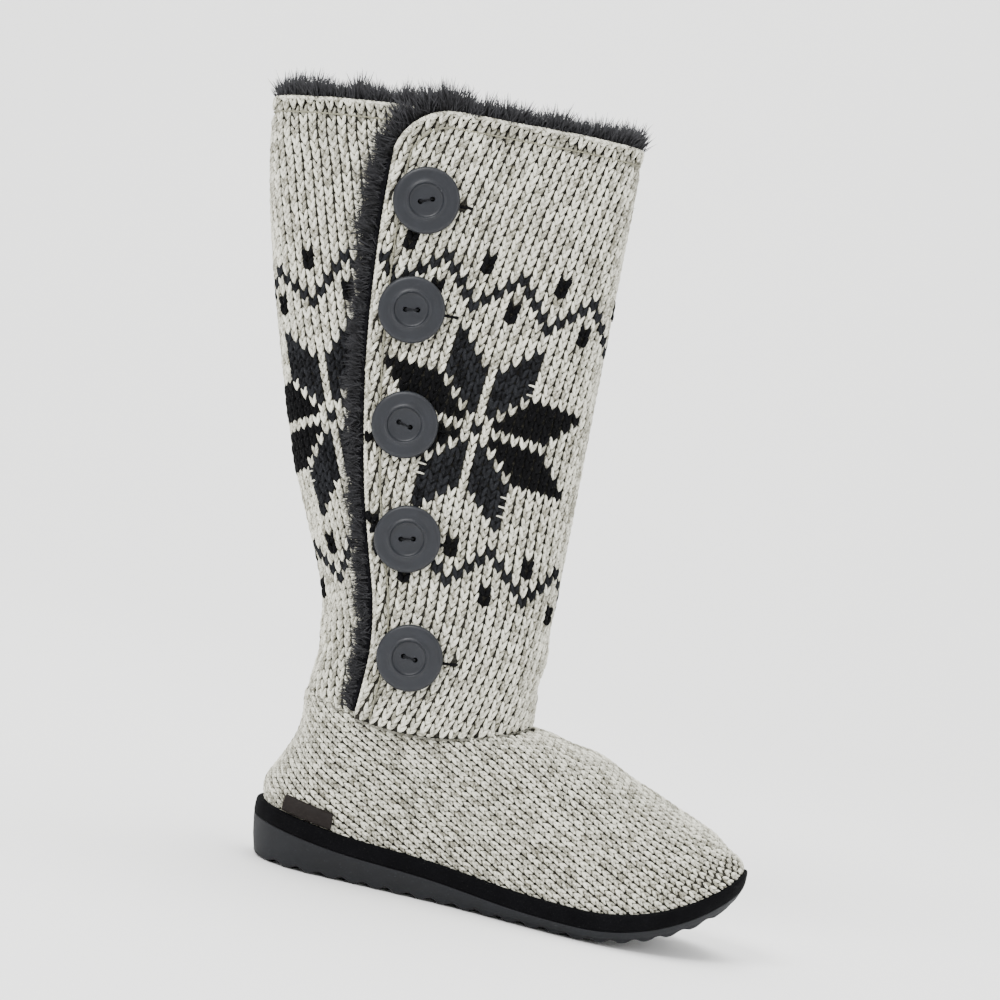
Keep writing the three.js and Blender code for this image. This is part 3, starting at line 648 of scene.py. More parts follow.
def oval(angle, height):
    """The leg seen from above; angle 0 is the back, pi the front."""
    half_length = (ANKLE_LENGTH + (COLLAR_LENGTH - ANKLE_LENGTH) * curve(LEG, height, 1)) / 2
    half_width = (ANKLE_WIDTH + (COLLAR_WIDTH - ANKLE_WIDTH) * curve(LEG, height, 2)) / 2
    power = roundness(height)
    centre = ANKLE_FRONT + (COLLAR_FRONT - ANKLE_FRONT) * height - half_length
    c, s = np.cos(angle), np.sin(angle)
    return np.stack([centre - half_length * np.sign(c) * np.abs(c) ** power,
                     -half_width * np.sign(s) * np.abs(s) ** power], -1)


print("front and back of the ankle", ANKLE_FRONT, ANKLE_FRONT - ANKLE_LENGTH)

# %% Distances round the leg at many levels
LEVELS = np.linspace(-0.03, 1.05, 109)
REACH = np.arange(0.0, 500.0, 1.0)
FULL_TURN = 1200


def measure_levels():
    """Angles by distance from the flap's edge at each level, and the leg's girth there."""
    table, girths = [], []
    for height in LEVELS:
        share = 1 - 2 * curve(LEG, height, 3)
        start = np.arccos(share ** (1 / roundness(height)))
        angles = start + np.linspace(0, 2 * np.pi * 1.25, 1501)
        points = oval(angles, np.full(len(angles), height))
        lengths = np.r_[0, np.cumsum(np.linalg.norm(np.diff(points, axis=0), axis=1))]
        table.append(np.interp(REACH, lengths, angles))
        girths.append(lengths[FULL_TURN])
    return np.array(table), np.array(girths)


ANGLES, GIRTHS = measure_levels()


def girth(height):
    """The distance once round the leg."""
    return np.interp(height, LEVELS, GIRTHS)


def angle_at(distance, height):
    """The angle round the leg; a distance below 0 is taken from behind the flap's edge."""
    turns = np.where(distance < 0, -1.0, 0.0)
    wrapped = np.where(distance < 0, distance + girth(height), distance)
    row = np.clip((height - LEVELS[0]) / (LEVELS[1] - LEVELS[0]), 0, len(LEVELS) - 1.001)
    column = np.clip(wrapped, 0, len(REACH) - 1.001)
    r, c = row.astype(int), column.astype(int)
    u, v = row - r, column - c
    found = ((ANGLES[r, c] * (1 - v) + ANGLES[r, c + 1] * v) * (1 - u)
             + (ANGLES[r + 1, c] * (1 - v) + ANGLES[r + 1, c + 1] * v) * u)
    return found + 2 * np.pi * turns


print("girth at ankle and collar", girth(0.0), girth(1.0))

# %% Points and ways on the leg
def leg_point(distance, height, out=0.0):
    """A point of the leg, moved out from its surface."""
    distance, height = np.broadcast_arrays(np.asarray(distance, float), np.asarray(height, float))
    angle = angle_at(distance, height)
    along = unit(oval(angle + 0.02, height) - oval(angle - 0.02, height))
    flat = oval(angle, height)
    bottom, top = seam_height(angle), collar_height(angle)
    return np.stack([flat[..., 0] + along[..., 1] * out, flat[..., 1] - along[..., 0] * out,
                     bottom + (top - bottom) * height], -1)


FLAP_LOW, FLAP_HIGH, FLAP_FADE = 3.5, 6.0, 24.0


def in_flap(distance):
    """1 on the flap, fading to 0 past the overlap."""
    return 1 - smooth((distance - OVERLAP - 4) / FLAP_FADE)


def flap_raise(distance, height):
    """How far the flap stands off the layer under it, fading out past the overlap."""
    lift = FLAP_LOW + (FLAP_HIGH - FLAP_LOW) * smooth(2 * height)
    return np.where(distance < 0, 0.0, lift * in_flap(distance))


def leg_frame(distance, height):
    """Unit ways round, up and out of the leg's surface."""
    def surface(q, h):
        return leg_point(q, h, flap_raise(q, h))

    around = surface(distance + 0.5, height) - surface(distance - 0.5, height)
    up = surface(distance, height + 0.003) - surface(distance, height - 0.003)
    out = np.cross(around, up)
    return unit(around), unit(up), unit(out)


print("the middle of the flap's edge in millimetres", leg_point(0.0, 0.5).round(1))

# %% Corner, hem and folds of the leg
def corner_drop(distance):
    """How far below the collar the flap's edge lies, where its top corner is rounded."""
    inside = np.clip(CORNER_RADIUS - distance, 0, CORNER_RADIUS)
    return CORNER_RADIUS - np.sqrt(CORNER_RADIUS ** 2 - inside ** 2)


HEM_FROM_EDGE = 8.5
# A fold: distance round, height above the seam, its width, its tallness and its depth.
SLACK = [
    (118.0, 22.0, 46.0, 6.0, -1.3), (128.0, 37.0, 50.0, 7.0, 1.1), (150.0, 54.0, 40.0, 7.0, -1.1),
    (300.0, 20.0, 34.0, 6.0, -1.3), (292.0, 36.0, 36.0, 7.0, 1.0), (62.0, 12.0, 30.0, 5.0, 0.8),
    (215.0, 30.0, 34.0, 8.0, -1.2), (90.0, 248.0, 14.0, 30.0, 0.9), (320.0, 200.0, 16.0, 40.0, -0.9),
]


def inside_edge(distance, height):
    """Millimetres from the collar or from the flap's free edge, whichever is nearer."""
    free = np.where(distance > 0, distance, 1e3)
    return np.minimum((1 - height) * SHAFT_HEIGHT - corner_drop(free), free)


def leg_relief(distance, height):
    """Soft troughs and ridges of the leg: the hem's line, the seam's pucker and slack at the ankle."""
    from_edge = inside_edge(distance, height)
    hem = -1.6 * np.exp(-((from_edge - HEM_FROM_EDGE) / 2.5) ** 2)
    hem = hem + 0.5 * np.exp(-((from_edge - 4.2) / 2.4) ** 2)
    low = height * SHAFT_HEIGHT
    pucker = 0.5 * np.sin(distance * 0.55 + 1.3 * np.sin(distance * 0.11)) * np.exp(-(low / 7.0) ** 2)
    slack = 0.0
    for centre, level, wide, tall, depth in SLACK:
        slack = slack + depth * np.exp(-((distance - centre) / wide) ** 2 - ((low - level) / tall) ** 2)
    return hem + pucker + slack


print("the collar drops at the flap's edge by", corner_drop(0.0))

# %% [markdown]
# ## Backing and lining of the leg
# Between the stitches one looks into the fabric, where fibres cross in the shade. A dark wall just under
# the stitches gives that depth for few faces: its grey is painted shade along with the dark cloth behind.
# It follows the same troughs and folds as the stitches, and a second wall inside it is the lining.

# %% Backing and lining of the leg
def leg_wall(name, deep_out, deep_in, ease):
    """A wall of the leg between two depths, drawn back a little from the free edges."""
    outer, inner = [], []
    for share in np.linspace(0.0, 1.0, 40):
        places = np.linspace(ease, girth(share) + OVERLAP - ease, 144)
        top = 1 - (corner_drop(places) + ease) / SHAFT_HEIGHT
        height = share * top
        lift = flap_raise(places, height) + leg_relief(places, height)
        outer.append(leg_point(places, height, lift - deep_out))
        inner.append(leg_point(places, height, lift - deep_in))
    return shell(name, np.array(outer), np.array(inner), False)


leg_backing = leg_wall("leg_backing", 1.0, 1.9, 0.6)
leg_backing.data.materials.append(backing_and_shade_finish)
leg_lining = leg_wall("leg_lining", 1.95, 3.2, 0.4)
leg_lining.data.materials.append(pile_cloth)
for thing in (leg_backing, leg_lining):
    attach(thing, "root")
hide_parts("shaft")
print("faces of backing and lining", len(leg_backing.data.polygons), len(leg_lining.data.polygons))

# %% [markdown]
# ## The charted pattern
# Two yarns are knitted from a chart, one square to a stitch. A star of eight petals stands between two
# zigzags with dots in their bays. The chart could be a picture of coloured squares, but rules on a stitch's
# column and row are shorter and repeat round the leg by themselves.

# %% Chart
STAR_REPEAT, ZIGZAG_REPEAT = 28, 8


def is_petal(column, row):
    """The star: eight petals and the stitch in its middle."""
    c, r = np.abs(column), np.abs(row)
    centre = (c == 0) & (r == 0)
    petals = (c > 0) & (r > 0) & (c != r) & (np.minimum(c, r) <= 4)
    petals &= np.where(r > c, r <= c + 5, c <= r + 6)
    return centre | petals


def chart(column, row, shift):
    """1 where the stitch is knitted in the dark yarn, 2 where it is nearly black, 3 for a dot."""
    half = STAR_REPEAT // 2
    c = (column + half) % STAR_REPEAT - half
    star = is_petal(c, row)
    bay = np.abs((column + shift + 4) % ZIGZAG_REPEAT - 4)
    zigzag = np.abs(row) == 16 - bay
    dots = ((bay == 0) & ((np.abs(row) == 12) | (np.abs(row) == 13)))
    dots |= (bay == 4) & ((np.abs(row) == 16) | (np.abs(row) == 17))
    flat_petal = star & (np.abs(c) > np.abs(row))
    return np.where(dots, 3, np.where(flat_petal, 2, np.where(star | zigzag, 1, 0)))


for row in range(18, -19, -1):
    print("".join(" xX."[shade] for shade in chart(np.arange(-14, 14), row, 0)))

# %% The lattice of stitches
WALE, COURSE, SLANT = 5.2, 5.05, np.radians(13.5)


def rise_to_height(distance, rise):
    """The share of the height whose point lies that far along the leaning leg."""
    height = np.clip(rise / SHAFT_HEIGHT, 0, 1)
    for _ in range(8):
        p = leg_point(distance, height)
        here = -(p[..., 0] - ANKLE_CENTRE) * np.sin(LEAN) + (p[..., 2] - ANKLE_HEIGHT) * np.cos(LEAN)
        height = height + (rise - here) / SHAFT_HEIGHT
    return height


def leg_stitches(origin, slant, span):
    """The two legs of every stitch on one panel of the leg, in distance and rise."""
    i, j = np.meshgrid(np.arange(-60, 61), np.arange(-75, 76), indexing="ij")
    i, j = i.ravel(), j.ravel()
    row_way = np.array([np.cos(slant), -np.sin(slant)])
    wale_way = np.array([np.sin(slant), np.cos(slant)])
    ends = []
    for side in (-1, 1):
        for u, v in ((0.5 + side * 0.03, -0.08), (0.5 + side * 0.34, 1.04)):
            across = (i + u - 0.5)[:, None] * WALE * row_way
            ends.append(across + (j + v - 0.5)[:, None] * COURSE * wale_way + origin)
    centre = i[:, None] * WALE * row_way + j[:, None] * COURSE * wale_way + origin
    keep = (centre[:, 0] > span[0]) & (centre[:, 0] < span[1])
    return i[keep], j[keep], [end[keep] for end in ends]


print("a wale is", WALE, "wide and a course", COURSE, "tall")

# %% [markdown]
# ## Stitches of the leg
# Each charted square becomes one V of two strands. The front panel follows the flap, the back panel leans
# the other way, and they meet in a seam on the inner side. Stitches under a button, in a buttonhole or
# hidden behind the flap are left out, which saves many faces.

# %% Which stitches are seen
HOLE_START, HOLE_END = 16.5, 45.0
UNDER_BUTTON = 13.0
HIDDEN_BEHIND, HIDDEN_BELOW = 12.0, 0.86
SEAM_PLACES = np.array([np.interp(1.5 * np.pi, row, REACH) for row in ANGLES])


def inner_seam(height):
    """Distance from the flap's edge forward to the seam in the middle of the inner side."""
    return np.interp(height, LEVELS, SEAM_PLACES)


def in_buttonhole(distance, height):
    """Whether a stitch would lie in a buttonhole."""
    found = np.zeros(np.shape(distance), bool)
    for level in BUTTON_HEIGHTS:
        near = np.abs(height - level) * SHAFT_HEIGHT < 0.8
        found |= near & (distance > HOLE_START) & (distance < HOLE_END)
    return found


def hold(distance, height):
    """Heights kept between the ankle seam and the collar's edge, so that strands end there."""
    free = np.where(distance > 0, distance, 1e3)
    return np.clip(height, 0.003, 1 - (corner_drop(free) + 1.2) / SHAFT_HEIGHT)


def under_button(distance, height):
    """Whether a stitch would be hidden by a button."""
    level = np.array(BUTTON_HEIGHTS)
    away = np.hypot((height[:, None] - level) * SHAFT_HEIGHT, (distance - BUTTON_FROM_EDGE)[:, None])
    return (away < UNDER_BUTTON).any(1)


def hem_groove_shade(distance, height):
    """How much painted shade a pale strand gets in the hem's groove: 1 in the line of sewing along the hem,
    0 a few millimetres away.
    """
    return np.exp(-((inside_edge(distance, height) - HEM_FROM_EDGE) / 2.0) ** 2)


def is_seen(distance, height, front):
    """Where a panel's stitches show: on its own side of the seam and not under something."""
    seam = inner_seam(height)
    if front:
        shown = (distance > 1.2) & (distance < seam)
    else:
        shown = distance > seam
        shown &= (distance < girth(height) + HIDDEN_BEHIND) | (height > HIDDEN_BELOW)
    return shown & ~in_buttonhole(distance, height) & ~under_button(distance, height)


print("the inner seam at ankle and collar lies at", inner_seam(0.0).round(1), inner_seam(1.0).round(1))

# %% A panel of stitches
# One number each for pale yarn, dark yarn, nearly black yarn and dots.
STRAND_SPLAY = (0.0, 0.05, 0.0, 0.24)
STRAND_LIFT = (-0.25, 0.0, -0.05, 0.35)
STRAND_STOUT = (1.1, 1.36, 1.36, 1.6)
STRAND_LONG = (0.62, 0.62, 0.62, 0.55)
print("strands of pale, dark and black yarn and of dots are thick by", STRAND_STOUT)


def leg_panel(name, origin, slant, span, base, shift, front):
    """One charted panel of the leg as strands."""
    i, j, ends = leg_stitches(np.array(origin), slant, span)
    shade = chart(i, j, shift)
    points, along, out, size, dark = [], [], [], [], []
    rng = np.random.default_rng(7)
    row_way = np.array([np.cos(slant), -np.sin(slant)])
    for side, start, stop in ((-1, ends[0], ends[1]), (1, ends[2], ends[3])):
        splay = side * WALE * np.choose(shade, STRAND_SPLAY)
        stop = stop + splay[:, None] * row_way
        start = start + 0.4 * splay[:, None] * row_way
        q0, q1 = start[:, 0] + base(start[:, 1]), stop[:, 0] + base(stop[:, 1])
        h0, h1 = rise_to_height(q0, start[:, 1]), rise_to_height(q1, stop[:, 1])
        whole = h1 - h0
        h0, h1 = hold(q0, h0), hold(q1, h1)
        ok = h1 - h0 > 0.2 * whole
        middle_q, middle_h = (q0 + q1) / 2, (h0 + h1) / 2
        ok &= is_seen(middle_q, middle_h, front)
        lift = flap_raise(middle_q, middle_h) + leg_relief(middle_q, middle_h)
        a = leg_point(q0, h0, lift)
        b = leg_point(q1, h1, lift)
        _, _, normal = leg_frame(middle_q, middle_h)
        span_vector = b - a
        length = np.linalg.norm(span_vector, axis=1)
        centre = (a + b) / 2 + normal * np.choose(shade, STRAND_LIFT)[:, None]
        ok &= length < 9
        jitter = rng.normal(0, 0.1, (len(i), 3))
        points.append((centre + jitter)[ok])
        along.append(span_vector[ok])
        out.append(normal[ok])
        thick = 1 + rng.normal(0, 0.05, ok.sum())
        stout = np.choose(shade[ok], STRAND_STOUT) * thick
        long = length[ok] * np.choose(shade[ok], STRAND_LONG)
        size.append(np.column_stack([stout, np.minimum(stout, 1.15), long]) / 1000)
        # Pale strands near the hem's line get painted shade for its groove; dyed strands keep their chart
        # number.
        dark.append(np.where(shade[ok] > 0, shade[ok], 0.25 * hem_groove_shade(middle_q, middle_h)[ok]))
    return grow(name, strands, np.concatenate(points), {
        "along": np.concatenate(along), "out": np.concatenate(out), "size": np.concatenate(size),
        "yarn": np.concatenate(dark)},
        {"Sides": 6, "Rings": 4, "Seed": 3, "Material": yarn_finish})

# %% Front and back panels
FRONT_CENTRE, BACK_CENTRE = (58.0, 150.0), (-22.0, 151.6)
BACK_SHIFT = 4


def front_base(rise):
    return 0 * rise


def back_base(rise):
    return girth(np.clip(rise / SHAFT_HEIGHT, 0, 1))


front_knit = leg_panel("leg_knit_front", FRONT_CENTRE, SLANT, (0.8, 260.0), front_base, 0, True)
back_knit = leg_panel("leg_knit_back", BACK_CENTRE, -SLANT, (-260.0, 36.0), back_base, BACK_SHIFT, False)
for thing in (front_knit, back_knit):
    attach(thing, "root")

# %% [markdown]
# ## Hems, edge and buttonholes of the leg
# The knit is turned in at the collar and the flap and sewn down with a row of stitches. The fold reads
# as a rounded edge, and each buttonhole as a short slit of near-black strands, painted shade for its
# opening. All of these are yarn too, so they use the same strand tree, laid between pairs of places.

# %% Strands between places
def leg_strands(name, places, shade, thickness, finish):
    """Strands laid between pairs of places on the leg: distance, height and way out at each end."""
    ends = np.array(places, float)
    a = leg_point(ends[:, 0, 0], ends[:, 0, 1], ends[:, 0, 2])
    b = leg_point(ends[:, 1, 0], ends[:, 1, 1], ends[:, 1, 2])
    middle = ends.mean(1)
    _, _, normal = leg_frame(middle[:, 0], middle[:, 1])
    length = np.linalg.norm(b - a, axis=1)
    thick = np.full(len(length), thickness)
    size = np.column_stack([thick, thick, length * 0.58]) / 1000
    return grow(name, strands, (a + b) / 2, {
        "along": b - a, "out": normal, "size": size, "yarn": np.full(len(length), shade)},
        {"Sides": 6, "Rings": 4, "Seed": 5, "Material": finish})

# %% Lines along the edges
def edge_line(offset):
    """Places at equal steps along the flap's edge and the collar, some millimetres inside the edge."""
    path = [(offset, h) for h in np.linspace(0.005, 1 - CORNER_RADIUS / SHAFT_HEIGHT, 400)]
    for turn in np.linspace(0, np.pi / 2, 60)[1:]:
        radius = CORNER_RADIUS - offset
        path.append((CORNER_RADIUS - radius * np.cos(turn),
                     1 - (CORNER_RADIUS - radius * np.sin(turn)) / SHAFT_HEIGHT))
    collar = np.linspace(CORNER_RADIUS + 1, girth(1.0) + OVERLAP, 900)
    path += [(q, 1 - offset / SHAFT_HEIGHT) for q in collar]
    return np.array(path)


def along_line(path, pitch):
    """Points at equal spacing along a line of places on the leg."""
    points = leg_point(path[:, 0], path[:, 1])
    run = np.r_[0, np.cumsum(np.linalg.norm(np.diff(points, axis=0), axis=1))]
    at = np.arange(pitch / 2, run[-1], pitch)
    return np.column_stack([np.interp(at, run, path[:, 0]), np.interp(at, run, path[:, 1])])


def lifted(q, h, more=0.0):
    """A place on the leg with its way out, on top of the flap and the folds."""
    return (q, h, float(flap_raise(q, h) + leg_relief(q, h)) + more)


def chained(line, more, step=1):
    """Pairs of places, each from one place of a line to another further on."""
    return [(lifted(*line[k], more), lifted(*line[k + step], more)) for k in range(len(line) - step)]


print("places along the edge", len(along_line(edge_line(HEM_FROM_EDGE), 2.1)))

# %% Rolled edge and hem
def sewing(place):
    return {"Base Color": noise(place, 2200.0).mix(colour(104, 102, 86), colour(146, 143, 124))}


rolled = chained(along_line(edge_line(1.2), 2.6), -0.35, 2)
rolled += chained(along_line(edge_line(0.9), 2.6), -1.9, 2)
edge_roll = leg_strands("edge_roll", rolled, 0.0, 1.2, yarn_finish)
thread_finish = make_material("sewing_thread", sewing, Roughness=0.8)
hem = chained(along_line(edge_line(HEM_FROM_EDGE), 2.1), 1.25)
hem_stitches = leg_strands("hem_stitches", hem, 0.0, 0.5, thread_finish)

# %% Buttonhole slits
SLIT_PLACES = np.arange(16.8, 44.6, 2.0)
# Painted shade: near-black strands along each buttonhole stand for the dark of its opening.
slits = [(lifted(q, level, 0.8), lifted(q + 2.6, level, 0.8))
         for level in BUTTON_HEIGHTS for q in SLIT_PLACES]
slit_shade = leg_strands("buttonhole_slits", slits, 2.0, 0.9, yarn_finish)

# %% [markdown]
# ## Seams and floats
# The leg is sewn to the foot round the ankle, and its two panels are sewn together on the inner side. Each
# seam is a cord of yarn that covers the line where stitches meet. A few pale strands also cross the petals,
# as yarn does where a knitter changes colour.

# %% Seams
ring_places = [(q, 0.0005) for q in np.arange(0.5, girth(0.0), 1.0)]
seam = chained(along_line(np.array(ring_places), 2.2), 0.2)
seam_cord = leg_strands("ankle_seam", seam, 0.52, 0.75, yarn_finish)
side_places = [(float(inner_seam(height)), height) for height in np.linspace(0.01, 0.995, 140)]
side_cord = leg_strands("inner_seam", chained(side_places, 0.0), 0.0, 1.25, yarn_finish)

# %% Floats
FLOATS = [(4.5, 5), (4.5, 6), (4.5, -6), (4.5, -7), (4.5, -8), (-4.5, -5), (-4.5, -6)]


def float_ends(centre, slant, column, row):
    """Both ends of a short strand of pale yarn that crosses the edge of a petal."""
    ends = []
    for c in (column + 0.3 * np.sign(column), column - 0.6 * np.sign(column)):
        q = centre[0] + c * WALE * np.cos(slant) + row * COURSE * np.sin(slant)
        v = centre[1] - c * WALE * np.sin(slant) + row * COURSE * np.cos(slant)
        q = q if q > 0 else q + float(girth(v / SHAFT_HEIGHT))
        h = float(rise_to_height(np.array([q]), np.array([v]))[0])
        ends.append(lifted(q, h, 0.95))
    return ends


floats = [float_ends(FRONT_CENTRE, SLANT, *place) for place in FLOATS]
floats += [float_ends(BACK_CENTRE, -SLANT, *place) for place in FLOATS[:2] + FLOATS[5:]]
float_yarn = leg_strands("pattern_floats", floats, 0.0, 0.6, yarn_finish)
for thing in (edge_roll, hem_stitches, slit_shade, seam_cord, side_cord, float_yarn):
    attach(thing, "root")

# %% [markdown]
# ## The knitted foot
# The foot is knitted finer. Its wales run forward and down beside the ridge of the instep, and meet the
# sole at a slant. A net is laid over the foot first: one way counts millimetres down from the ridge,
# the other counts them along each wale, so that all stitches come out the same size.

# %% The foot's surface
def foot_point(angle, row):
    """A point of the foot; row 0 is at the sole and 11 at the ankle seam."""
    angle, row = np.broadcast_arrays(np.asarray(angle, float), np.asarray(row, float))
    sole = inset(angle, np.full(angle.shape, RIM_WIDTH + CLEARANCE))
    bottom = band_top(sole[..., 0]) - RIM_DEPTH + CLEARANCE
    wrapped = np.mod(angle, 2 * np.pi)
    folded = np.minimum(wrapped, 2 * np.pi - wrapped)
    toe = smooth((folded / np.pi - 0.5) / 0.25)
    heel = 1 - smooth(folded / (0.3 * np.pi))
    side = 1 - toe - heel
    share = [curve(LAST, row, k) for k in range(1, 7)]
    inward = heel * share[0] + side * share[2] + toe * share[4]
    upward = heel * share[1] + side * share[3] + toe * share[5]
    top = seam_height(angle) - CLEARANCE
    ankle_x = ANKLE_CENTRE - ANKLE_LENGTH / 2 * np.cos(angle)
    ankle_y = -ANKLE_WIDTH / 2 * np.sin(angle)
    return np.stack([sole[..., 0] + (ankle_x - sole[..., 0]) * inward,
                     sole[..., 1] + (ankle_y - sole[..., 1]) * inward,
                     bottom + (top - bottom) * upward], -1)


print("the toe's top in millimetres", foot_point(np.pi, 2).round(1))

# %% Sections of the foot
HEEL_TURN = 36.0
NET_STEP = 1.5
STATIONS = np.arange(-23.5, 258.6, NET_STEP)
DEPTHS = np.arange(0.0, 240.0, NET_STEP)
FIRST_CUT = -20.5
WALE_SLOPE = np.radians(26.0)
TOP_DEPTH = 110.0
SPARE_ABOVE, SPARE_BELOW = 60.0, 120.0
ROWS = np.linspace(0, 11, 331)
HALF_TURN = np.linspace(0, np.pi, 500)


def wale_line(t):
    """Height of the wale that all others run beside, at a station along the foot."""
    return 20.0 + (200.0 - t) * np.tan(WALE_SLOPE)


def section(surface, t):
    """The foot's outline in the upright plane at one station, from the top down to the sole."""
    points = []
    for grid in surface:
        if t >= HEEL_TURN:
            key = grid[:, 0]
        else:
            key = HEEL_TURN - HEEL_TURN * np.arctan2(HEEL_TURN - grid[:, 0], np.abs(grid[:, 1]))
        if key[0] - 1e-6 <= t <= key[-1]:
            points.append([np.interp(t, key, grid[:, k]) for k in range(3)])
    return np.array(points[::-1])


def wale_start(line, run, level):
    """Depth of a section's top below the level at which its wale starts."""
    if level > line[0, 2]:
        return level - line[0, 2]
    if level < line[-1, 2]:
        return -run[-1] - (line[-1, 2] - level)
    return -np.interp(-level, -line[:, 2], run)


def lead_in(line, t, side):
    """A point beyond the top of a section, in line with the surface there."""
    if t < ANKLE_FRONT - 1:
        inward = unit(np.array([max(t, HEEL_TURN) - line[0, 0], -line[0, 1], 0]))
    else:
        inward = np.array([0.0, -side, 0.0])
    lift = 0.85 * smooth((ANKLE_FRONT - t) / 20)
    return line[0] + (inward * np.sqrt(1 - lift ** 2) + np.array([0, 0, lift])) * SPARE_ABOVE


print("stations along the foot", len(STATIONS), "depths below the ridge", len(DEPTHS))

# %% The net of one side
def foot_net(side):
    """Points of one side of the foot by depth below the ridge and length along the wale."""
    angles = HALF_TURN if side < 0 else 2 * np.pi - HALF_TURN
    surface = foot_point(angles[None, :], ROWS[:, None])
    net, starts, ends = [], [], []
    for t in np.maximum(STATIONS, FIRST_CUT):
        line = section(surface, t)
        run = np.r_[0, np.cumsum(np.linalg.norm(np.diff(line, axis=0), axis=1))]
        start = wale_start(line, run, wale_line(t)) + TOP_DEPTH
        below = line[-1] - np.array([0, 0, SPARE_BELOW])
        keys = np.r_[start - SPARE_ABOVE, start + run, start + run[-1] + SPARE_BELOW]
        points = np.vstack([lead_in(line, t, side), line, below])
        net.append(np.column_stack([np.interp(DEPTHS, keys, points[:, k]) for k in range(3)]))
        starts.append(start)
        ends.append(start + run[-1])
    net = np.array(net)
    for beyond in (1, 2):
        net[2 - beyond] = 2 * net[3 - beyond] - net[4 - beyond]
        starts[2 - beyond], ends[2 - beyond] = starts[2], ends[2]
    step = np.linalg.norm(np.diff(net, axis=0), axis=2)
    run = np.vstack([np.zeros(len(DEPTHS)), np.cumsum(step, axis=0)])
    anchor = np.argmin(np.abs(STATIONS - ANKLE_FRONT))
    drop = wale_line(ANKLE_FRONT) - net[anchor, :, 2]
    run = run - run[anchor] + np.sin(WALE_SLOPE) * drop
    return net, run, np.array(starts), np.array(ends)

# %% Looking places up in the net
BEFORE, BEYOND = -99.0, 999.0
FIRST_SEEN = -22.6
EDGE_REACH, FRONT_REACH, SOLE_REACH = 3.5, 1.8, 1.0


class Net:
    """Looks up places of the foot by depth and length along the wale."""

    def __init__(self, side):
        net, run, starts, ends = foot_net(side)
        self.side = side
        self.lengths = np.arange(run.min(), run.max(), NET_STEP)
        self.points = np.stack([
            np.column_stack([np.interp(self.lengths, run[:, k], net[:, k, axis]) for axis in range(3)])
            for k in range(len(DEPTHS))])
        self.station = np.stack([
            np.interp(self.lengths, run[:, k], STATIONS, left=BEFORE, right=BEYOND)
            for k in range(len(DEPTHS))])
        self.starts, self.ends = starts, ends

    def at(self, depth, length):
        """The point of the foot at a depth and a length."""
        row = np.clip(depth / NET_STEP, 0, len(DEPTHS) - 1.001)
        column = np.clip((length - self.lengths[0]) / NET_STEP, 0, len(self.lengths) - 1.001)
        r, c = row.astype(int), column.astype(int)
        u, v = (row - r)[..., None], (column - c)[..., None]
        p = self.points
        return ((p[r, c] * (1 - v) + p[r, c + 1] * v) * (1 - u)
                + (p[r + 1, c] * (1 - v) + p[r + 1, c + 1] * v) * u)

    def on_foot(self, depth, length):
        """Whether a place lies between the ankle seam and the sole."""
        r = np.clip(np.round(depth / NET_STEP).astype(int), 0, len(DEPTHS) - 1)
        c = np.round((length - self.lengths[0]) / NET_STEP).astype(int)
        c = np.clip(c, 0, len(self.lengths) - 1)
        t = self.station[r, c]
        start = np.interp(t, STATIONS, self.starts)
        end = np.interp(t, STATIONS, self.ends)
        over = np.where(t < ANKLE_FRONT - 2, EDGE_REACH, FRONT_REACH)
        seen = (t > FIRST_SEEN) & (t < BEYOND)
        return seen & (depth > start - over) & (depth < end - SOLE_REACH)

    def out(self, depth, length):
        """The way out of the foot's surface."""
        down = self.at(depth + NET_STEP, length) - self.at(depth - NET_STEP, length)
        ahead = self.at(depth, length + NET_STEP) - self.at(depth, length - NET_STEP)
        normal = np.cross(ahead, down) * (1 if self.side > 0 else -1)
        return normal / np.maximum(np.linalg.norm(normal, axis=-1, keepdims=True), 1e-9)


print("the net answers:", [name for name in vars(Net) if not name.startswith("_")])

# %% [markdown]
# ## Stitches of the foot
# The foot's stitches lie in the same V pairs as the leg's, all in pale yarn. They could all run straight
# forward, but then they would crowd at the heel; in the net each keeps its size. The fabric bulges over the
# band and folds a little over the instep, so the relief is added to each strand's place.

# %% Folds of the foot
FOOT_WALE, FOOT_COURSE = 4.05, 3.9
BAND_COVER = 2.4
# A fold over the instep: its place along the foot, its width and its depth.
FOOT_FOLDS = ((150.0, 9.0, -1.2), (168.0, 10.0, 0.8), (190.0, 10.0, -0.7))


def foot_relief(points):
    """Soft folds over the instep, a bulge over the band and a swell below the ankle seam."""
    x, z = points[..., 0], points[..., 2]
    folds = 0.0
    for at, wide, depth in FOOT_FOLDS:
        folds = folds + depth * np.exp(-((x + 0.25 * (70 - z) - at) / wide) ** 2)
    over_band = z - band_top(x)
    plump = (1.9 + 3.0 * smooth((x - 200) / 55)) * np.exp(-((over_band - 5.0) / 8.0) ** 2)
    round_ankle = np.clip((ANKLE_CENTRE - x) / (ANKLE_LENGTH / 2), -1, 1)
    below_seam = ANKLE_HEIGHT - ANKLE_TILT * round_ankle - ANKLE_DIP * (1 - round_ankle ** 2) - z
    swell = 1.1 * np.exp(-((below_seam - 3.0) / 6.0) ** 2) * smooth((60 - x) / 40)
    return folds * smooth((z - 40) / 25) + plump + swell


print("the foot bulges over the band at the toe by", foot_relief(np.array([255.0, 0.0, 33.0])).round(2))

